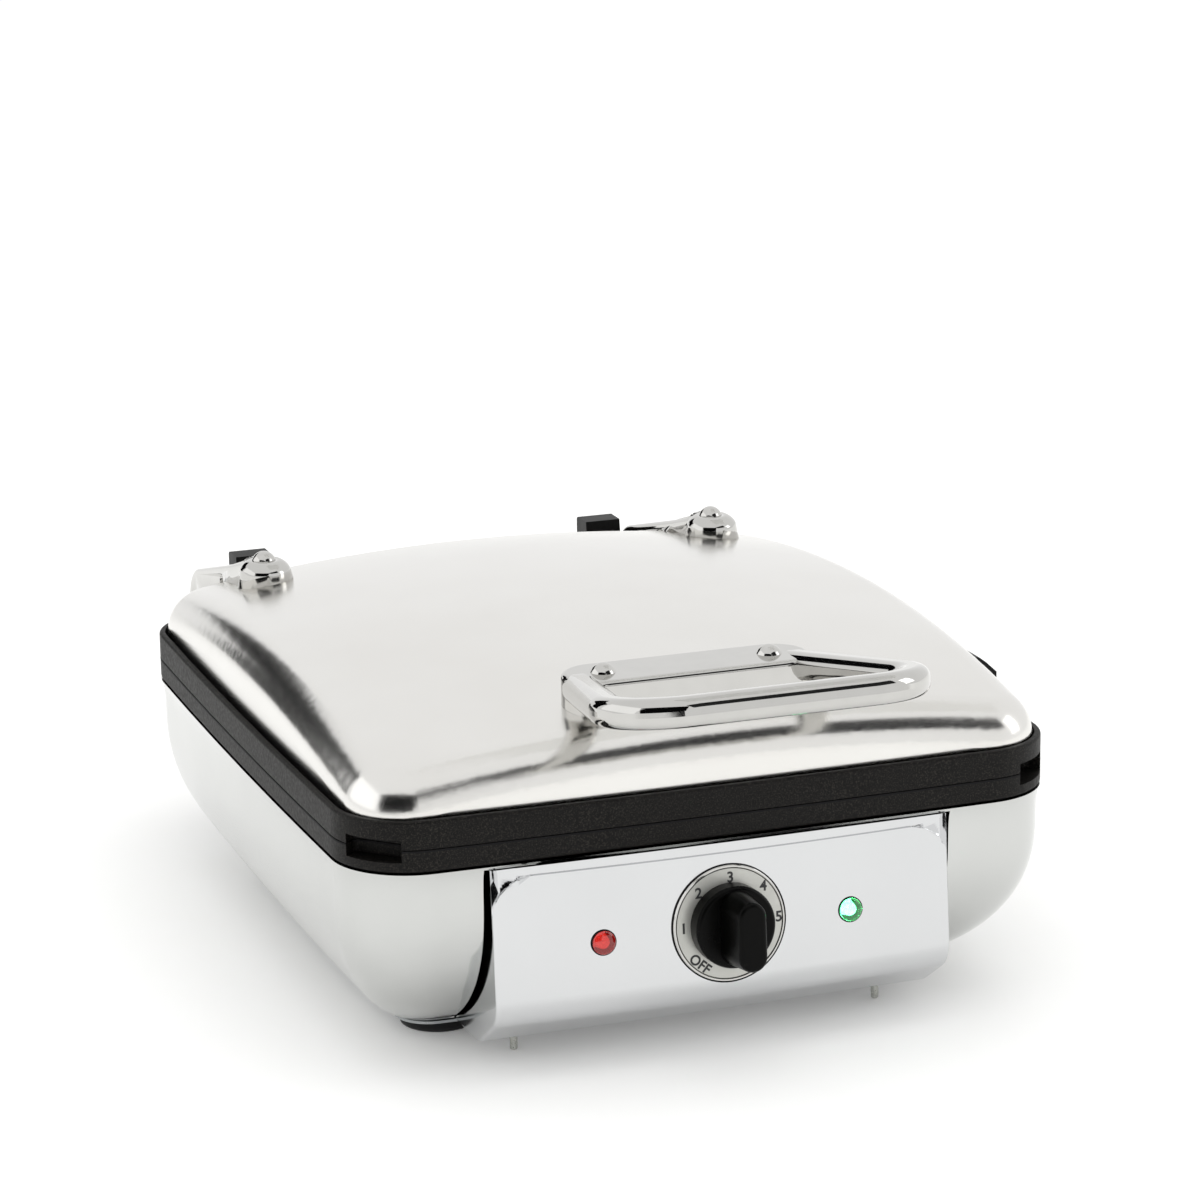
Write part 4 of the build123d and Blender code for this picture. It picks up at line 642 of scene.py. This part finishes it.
@dataclass
class NumberDial:
    """Round dial with its rim, a groove and an outer ring in painted shade, and printed numerals."""

    face: Matrix
    radius: float = 25.4
    rim_width: float = 1.2
    groove: float = 0.25
    outline: float = 0.55
    thickness: float = 0.8
    bore: float = 5.2
    print_height: float = 0.06
    stroke: float = 0.17
    numeral: float = 4.5
    numeral_rings: tuple[float, ...] = (20.4, 19.5, 19.5, 20.9, 22.0)
    off_height: float = 4.3
    off_ring: float = 21.0
    off_angle: float = 229.0
    angles: tuple[float, ...] = (180.0, 133.0, 87.0, 42.0, 0.0)

    def build(self) -> None:
        """Turn the disc and its rim, then print it."""
        outer = self.radius - self.outline
        inner = outer - self.rim_width
        top = self.thickness
        disc = turned(
            [(self.bore, 0.0), (inner - self.groove, 0.0), (inner - self.groove, top - 0.1),
             (inner - self.groove - 0.1, top), (self.bore, top), (self.bore, 0.0)],
            self.face,
        )
        plate = make_piece(disc, "dial_disc", Palette.DIAL.finish, Body.BASE)
        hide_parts("dial_plate")
        rim = turned(
            [(inner, 0.0), (outer, 0.0), (outer, top - 0.3), (outer - 0.3, top + 0.1),
             (inner + 0.3, top + 0.1), (inner, top - 0.2), (inner, 0.0)],
            self.face,
        )
        make_piece(rim, "dial_rim", Palette.CAST.finish, Body.BASE)
        # The groove inside the rim and the seat round it are painted shade: near-black rings for the shadow in
        # these gaps.
        ring = turned(
            [(inner - self.groove, 0.0), (inner, 0.0), (inner, top - 0.3), (inner - self.groove, top - 0.3),
             (inner - self.groove, 0.0)],
            self.face,
        )
        make_piece(ring, "dial_groove_shade", PAINTED_SHADE, Body.BASE)
        seat = turned(
            [(outer, -0.3), (self.radius, -0.3), (self.radius, top - 0.4), (outer, top - 0.4), (outer, -0.3)],
            self.face,
        )
        make_piece(seat, "dial_seat", PAINTED_SHADE, Body.BASE)
        self.print_numerals()

    def print_numerals(self) -> None:
        """Numerals 1 to 5 upright round the disc, and OFF along its lower left."""
        marks = bmesh.new()
        for number, (angle, ring) in enumerate(zip(self.angles, self.numeral_rings), start=1):
            self.add_word(marks, str(number), self.numeral, ring, angle, 0.0)
        self.add_word(marks, "OFF", self.off_height, self.off_ring, self.off_angle, self.off_angle + 90)
        make_piece(marks, "dial_numerals", INK, Body.BASE, crease=20.0)

    def add_word(
        self, marks: bmesh.types.BMesh, text: str, height: float, ring: float, angle: float, turn: float
    ) -> None:
        """Join one word to the print.

        Args:
            marks: mesh that takes the word.
            text: its characters.
            height: size of the letters in millimetres.
            ring: radius of its centre in millimetres.
            angle: place round the dial in degrees, from three o'clock.
            turn: turn of the word about its own centre, in degrees.
        """
        shape = words(text, height, self.print_height, self.stroke)
        spot = Vector((ring * cos(radians(angle)), ring * sin(radians(angle)), self.thickness)) * MM
        place = self.face @ Matrix.Translation(spot) @ Matrix.Rotation(radians(turn), 4, "Z")
        bmesh.ops.transform(shape, matrix=place, verts=shape.verts[:])
        mesh = bpy.data.meshes.new("word")
        shape.to_mesh(mesh)
        shape.free()
        marks.from_mesh(mesh)
        bpy.data.meshes.remove(mesh)


@dataclass
class SignalLamp:
    """Lamp cap in a seat of painted shade, with a glowing bulb behind it."""

    name: str
    node: str
    palette: Palette
    bulb: Finish
    place: Matrix
    radius: float = 5.1
    reach: float = 2.6
    seat: float = 0.45
    bulb_radius: float = 2.5

    def build(self) -> None:
        """Turn the seat and the domed cap."""
        # The seat is a near-black ring of painted shade round the cap.
        seat = turned(
            [(self.radius - 0.3, -0.8), (self.radius + self.seat, -0.8), (self.radius + self.seat, 0.35),
             (self.radius + self.seat - 0.2, 0.55), (self.radius, 0.55), (self.radius - 0.3, -0.8)],
            self.place, 48,
        )
        make_piece(seat, f"{self.name}_seat", PAINTED_SHADE, Body.BASE)
        arc = [
            (self.radius * cos(radians(a)), 0.6 + (self.reach - 0.6) * sin(radians(a)))
            for a in range(0, 91, 10)
        ]
        cap = turned(
            [(0.0, -5.0), (4.2, -5.0), (4.2, 0.0), (self.radius, 0.0)] + arc[:-1] + [(0.0, self.reach)],
            self.place, 48,
        )
        piece = make_piece(cap, f"{self.name}_cap", self.palette.finish, Body.BASE)
        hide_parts(self.node)
        bulb = [(self.bulb_radius * cos(radians(a)), -1.6 + 2.8 * sin(radians(a))) for a in range(0, 90, 15)]
        glow = turned([(0.0, -4.0), (self.bulb_radius, -4.0)] + bulb + [(0.0, 1.2)], self.place, 32)
        make_piece(glow, f"{self.name}_bulb", self.bulb, Body.BASE)


@dataclass
class ControlHousing:
    """Leaning control housing with a bowed face, its dial, knob and lamps."""

    dial_y: float = -183.5
    dial_z: float = 58.2
    tilt: float = 4.5
    half_width: float = 101.5
    bow: float = 3.5
    bow_back: float = -150.0
    bow_blend: float = 20.0
    slice_step: float = 7.0
    lip_depth: float = 0.2
    lip_y: float = -178.6
    lip_rise: float = 1.5
    lip_crown: float = 0.8
    lamp_x: float = 55.0
    lamp_drop: float = 1.5
    nodes: tuple[str, ...] = (
        "panel_screws", "anti_tip_pins", "knob", "thermostat", "thermostat_shaft", "thermostat_bracket",
        "thermostat_screws", "lamp_bodies",
    )
    lamps: tuple[tuple[str, str, Palette, Finish, int], ...] = (
        # The red lamp is unlit: its bulb's glow is a painted highlight in the lens.
        ("power_lamp", "power_lamp_lens", Palette.RED_CAP, UNLIT_BULB_PAINTED_GLOW, -1),
        ("ready_lamp", "ready_lamp_lens", Palette.GREEN_CAP, LIT_BULB, 1),
    )

    def on_face(self, x: float, up: float, recess: float = 0.0) -> Matrix:
        """Matrix of a spot on the leaning face.

        Args:
            x: place across the face in millimetres.
            up: place along the face above the dial centre, in millimetres.
            recess: how far the spot lies behind the flat face, in millimetres.

        Returns:
            Matrix with X across, Y up along the face and Z outwards.
        """
        lean = radians(self.tilt)
        across = Vector((1, 0, 0))
        along = Vector((0, sin(lean), cos(lean)))
        out = Vector((0, -cos(lean), sin(lean)))
        centre = Vector((0, self.dial_y, self.dial_z)) + across * x + along * up - out * recess
        axes = Matrix((across, along, out)).transposed().to_4x4()
        return Matrix.Translation(centre * MM) @ axes

    def recess_at(self, x: float) -> float:
        """How far the bowed face lies behind the flat one at x, in millimetres."""
        return self.bow * (x / self.half_width) ** 2

    def build(self) -> None:
        """Bow the housing, then seat the dial and the lamps on it."""
        dress(self.nodes)
        self.build_shell()
        NumberDial(self.on_face(0.0, 0.0)).build()
        for name, node, palette, bulb, side in self.lamps:
            x = side * self.lamp_x
            place = self.on_face(x, -self.lamp_drop, self.recess_at(x))
            SignalLamp(name, node, palette, bulb, place).build()

    def build_shell(self) -> None:
        """Bow a merged copy of the housing about its middle, and turn its front lip up."""
        shape = merged_copy("control_panel")
        half_slices = int(self.half_width / self.slice_step)
        for number in range(-half_slices, half_slices + 1):
            bmesh.ops.bisect_plane(
                shape, geom=shape.verts[:] + shape.edges[:] + shape.faces[:], dist=0.01 * MM,
                plane_co=(number * self.slice_step * MM, 0, 0), plane_no=(1, 0, 0),
            )
        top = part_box("control_panel")[1][2]
        for vert in shape.verts:
            x = vert.co.x / MM
            if vert.co.z > top - self.lip_depth * MM and vert.co.y < self.lip_y * MM:
                vert.co.z += (self.lip_rise + self.lip_crown * (1 - (x / self.half_width) ** 2)) * MM
            share = min(1.0, max(0.0, (self.bow_back - vert.co.y / MM) / self.bow_blend))
            vert.co.y += self.recess_at(x) * share * MM
        piece = make_piece(
            shape, "control_housing", Palette.HOUSING.finish, Body.BASE, crease=24.0
        )
        lead_flat_faces(piece)
        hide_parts("control_panel")


@dataclass
class CarryHandle:
    """Cast loop handle on its riveted plate."""

    nodes: tuple[str, ...] = ("handle", "handle_rivets")

    def build(self) -> None:
        """Dress the handle."""
        dress(self.nodes)


@dataclass
class HingePair:
    """Two cast arms, their rivets, pins, bushes and brackets, and the black posts."""

    rivet_x: float = 112.0
    rivet_y: float = 124.65
    pad_top: float = 152.3
    pad_depth: float = 11.0
    pad_reach: float = 15.5
    pad_taper: float = 0.26
    rivet_hole: float = 3.0
    arm_start: float = 8.0
    nodes: tuple[str, ...] = (
        "hinge_rivets", "hinge_brackets", "bracket_screws", "hinge_pins", "hinge_bushes", "rear_posts",
    )

    def build(self) -> None:
        """Dress the hinge and round both pads."""
        dress(self.nodes)
        for side, name in ((-1, "left"), (1, "right")):
            self.build_arm(side, name)

    def build_arm(self, side: int, name: str) -> None:
        """Swell the pad of one arm: a merged copy drawn in towards its top.

        Args:
            side: -1 for the left arm and 1 for the right one.
            name: left or right.
        """
        shape = merged_copy(f"hinge_arm_{name}")
        centre = Vector((side * self.rivet_x, self.rivet_y, 0)) * MM
        for vert in shape.verts:
            out = Vector((vert.co.x - centre.x, vert.co.y - centre.y, 0))
            rise = (vert.co.z / MM - self.pad_top + self.pad_depth) / self.pad_depth
            in_pad = self.rivet_hole * MM <= out.length <= self.pad_reach * MM
            if rise <= 0 or not in_pad or out.y > self.arm_start * MM:
                continue
            vert.co -= out * self.pad_taper * min(1.0, rise) ** 2
        piece = make_piece(
            shape, f"cast_hinge_arm_{name}", Palette.CAST.finish, Body.LID, crease=50.0
        )
        lead_flat_faces(piece)
        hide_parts(f"hinge_arm_{name}")


@dataclass
class StorageLatch:
    """Black latch on the right side, with its bracket and pin."""

    nodes: tuple[str, ...] = ("lid_latch", "latch_bracket", "latch_pin")

    def build(self) -> None:
        """Dress the latch."""
        dress(self.nodes)


# Studio


@dataclass
class View:
    """The photograph's viewpoint: degrees, millimetres and a lens on a 36 mm sensor."""

    azimuth: float = -19.536
    elevation: float = 15.005
    roll: float = -0.852
    position: tuple[float, float, float] = (-598.849, -1717.058, 638.856)
    lens: float = 125.684

    def build(self) -> None:
        """Create the camera and make it the scene's own."""
        turn, lift, roll = (radians(a) for a in (self.azimuth, self.elevation, self.roll))
        back = Vector((sin(turn) * cos(lift), -cos(turn) * cos(lift), sin(lift)))
        level = Vector((cos(turn), sin(turn), 0))
        rise = back.cross(level)
        right = cos(roll) * level + sin(roll) * rise
        up = cos(roll) * rise - sin(roll) * level
        data = bpy.data.cameras.new("photo_view")
        data.lens = self.lens
        data.sensor_width = 36.0
        data.sensor_fit = "HORIZONTAL"
        data.clip_start = 0.05
        data.clip_end = 60.0
        camera = bpy.data.objects.new("photo_view", data)
        axes = Matrix((right, up, back)).transposed().to_4x4()
        camera.matrix_world = Matrix.Translation(Vector(self.position) * MM) @ axes
        bpy.context.scene.collection.objects.link(camera)
        bpy.context.scene.camera = camera


@dataclass(frozen=True)
class Lamp:
    """A soft studio light."""

    name: str
    place: tuple[float, float, float]
    target: tuple[float, float, float]
    size: tuple[float, float]
    power: float
    tint: str = "#ffffff"
    mirrored: bool = True

    def build(self) -> None:
        """Create the light, turned to its target."""
        data = bpy.data.lights.new(self.name, "AREA")
        data.shape = "RECTANGLE"
        data.size, data.size_y = self.size
        data.energy = self.power
        data.color = linear(self.tint)[:3]
        light = bpy.data.objects.new(self.name, data)
        light.location = self.place
        aim = Vector(self.target) - Vector(self.place)
        light.rotation_euler = aim.to_track_quat("-Z", "Y").to_euler()
        light.visible_glossy = self.mirrored
        bpy.context.scene.collection.objects.link(light)


@dataclass(frozen=True)
class Card:
    """A dark card that gives the polished metal something to reflect."""

    name: str
    place: tuple[float, float, float]
    target: tuple[float, float, float]
    size: tuple[float, float]
    tone: str = "#0a0a0b"

    def build(self) -> None:
        """Create the card, hidden from the camera itself."""
        shape = bmesh.new()
        bmesh.ops.create_grid(shape, x_segments=1, y_segments=1, size=0.5)
        bmesh.ops.scale(shape, vec=(self.size[0], self.size[1], 1.0), verts=shape.verts[:])
        aim = (Vector(self.target) - Vector(self.place)).to_track_quat("Z", "Y").to_matrix().to_4x4()
        bmesh.ops.transform(shape, matrix=Matrix.Translation(self.place) @ aim, verts=shape.verts[:])
        mesh = bpy.data.meshes.new(self.name)
        shape.to_mesh(mesh)
        shape.free()
        # Black velvet on card: no gloss, so it reads as a plain dark shape in the chrome.
        cloth = Moulded(f"{self.name}_velvet", self.tone, self.tone, 0.95, grain=3.0, specular=0.0)
        mesh.materials.append(cloth.material())
        card = bpy.data.objects.new(self.name, mesh)
        card.visible_camera = False
        card.visible_diffuse = False
        card.visible_shadow = False
        bpy.context.scene.collection.objects.link(card)


@dataclass
class Studio:
    """Pale floor, white surround, soft lights and dark cards."""

    surround: str = "#ffffff"
    surround_power: float = 1.0
    floor_half: float = 6.0
    lamps: tuple[Lamp, ...] = (
        Lamp("overhead_softbox", (0.1, 0.0, 2.4), (0.0, 0.0, 0.1), (2.6, 2.2), 13.0, mirrored=False),
        Lamp("left_softbox", (-2.4, 0.42, 1.15), (0.0, 0.0, 0.13), (3.4, 1.9), 8.0),
        Lamp("right_softbox", (2.4, -0.9, 1.1), (0.0, 0.0, 0.1), (0.9, 1.4), 6.0),
    )
    cards: tuple[Card, ...] = (
        Card("front_left_dark_card", (-1.51, -2.51, 1.43), (0.0, 0.0, 0.13), (3.85, 2.46)),
        Card("front_dark_card", (1.28, -2.21, 2.06), (0.0, 0.0, 0.13), (2.03, 1.48), "#2a2a2b"),
        Card("back_left_dark_card", (-1.32, 2.39, 0.76), (0.0, 0.0, 0.13), (0.89, 1.6)),
        Card("back_dark_card", (-0.62, 2.57, 1.04), (0.0, 0.0, 0.13), (0.64, 0.99)),
        Card("upper_right_grey_card", (0.96, 0.17, 2.54), (0.0, 0.0, 0.13), (1.5, 1.5), "#e2e2e1"),
    )

    def build(self) -> None:
        """Create the world, the floor, the lights and the cards."""
        scene = bpy.context.scene
        scene.view_settings.view_transform = "Standard"
        world = bpy.data.worlds.new("white_surround")
        world.use_nodes = True
        world.node_tree.nodes.clear()
        sky = add_node(
            world.node_tree, "ShaderNodeBackground",
            inputs={"Color": linear(self.surround), "Strength": self.surround_power},
        )
        add_node(world.node_tree, "ShaderNodeOutputWorld", inputs={"Surface": sky.outputs["Background"]})
        scene.world = world
        self.build_floor()
        for item in self.lamps + self.cards:
            item.build()

    def build_floor(self) -> None:
        """Pale even floor under the feet."""
        shape = bmesh.new()
        bmesh.ops.create_grid(shape, x_segments=1, y_segments=1, size=self.floor_half)
        mesh = bpy.data.meshes.new("floor")
        shape.to_mesh(mesh)
        shape.free()
        # Opal acrylic table, lit a little from below: even and white, with a soft shadow.
        opal = Moulded(
            "opal_acrylic_table", "#f2f2f1", "#f4f4f3", 0.75,
            grain=2.0, grain_depth=0.002, specular=0.0, glow=0.12,
        )
        mesh.materials.append(opal.material())
        floor = bpy.data.objects.new("floor", mesh)
        bpy.context.scene.collection.objects.link(floor)


def main() -> None:
    """Build every sub-assembly in order."""
    logging.basicConfig(level=logging.INFO, format="%(name)s: %(message)s")
    steps: tuple[Callable[[], None], ...] = (
        View().build, Studio().build, BaseBowl().build, PlateSeam().build, DomedLid().build,
        ControlHousing().build, CarryHandle().build, HingePair().build, StorageLatch().build,
    )
    for step in steps:
        step()


if __name__ == "__main__":
    main()
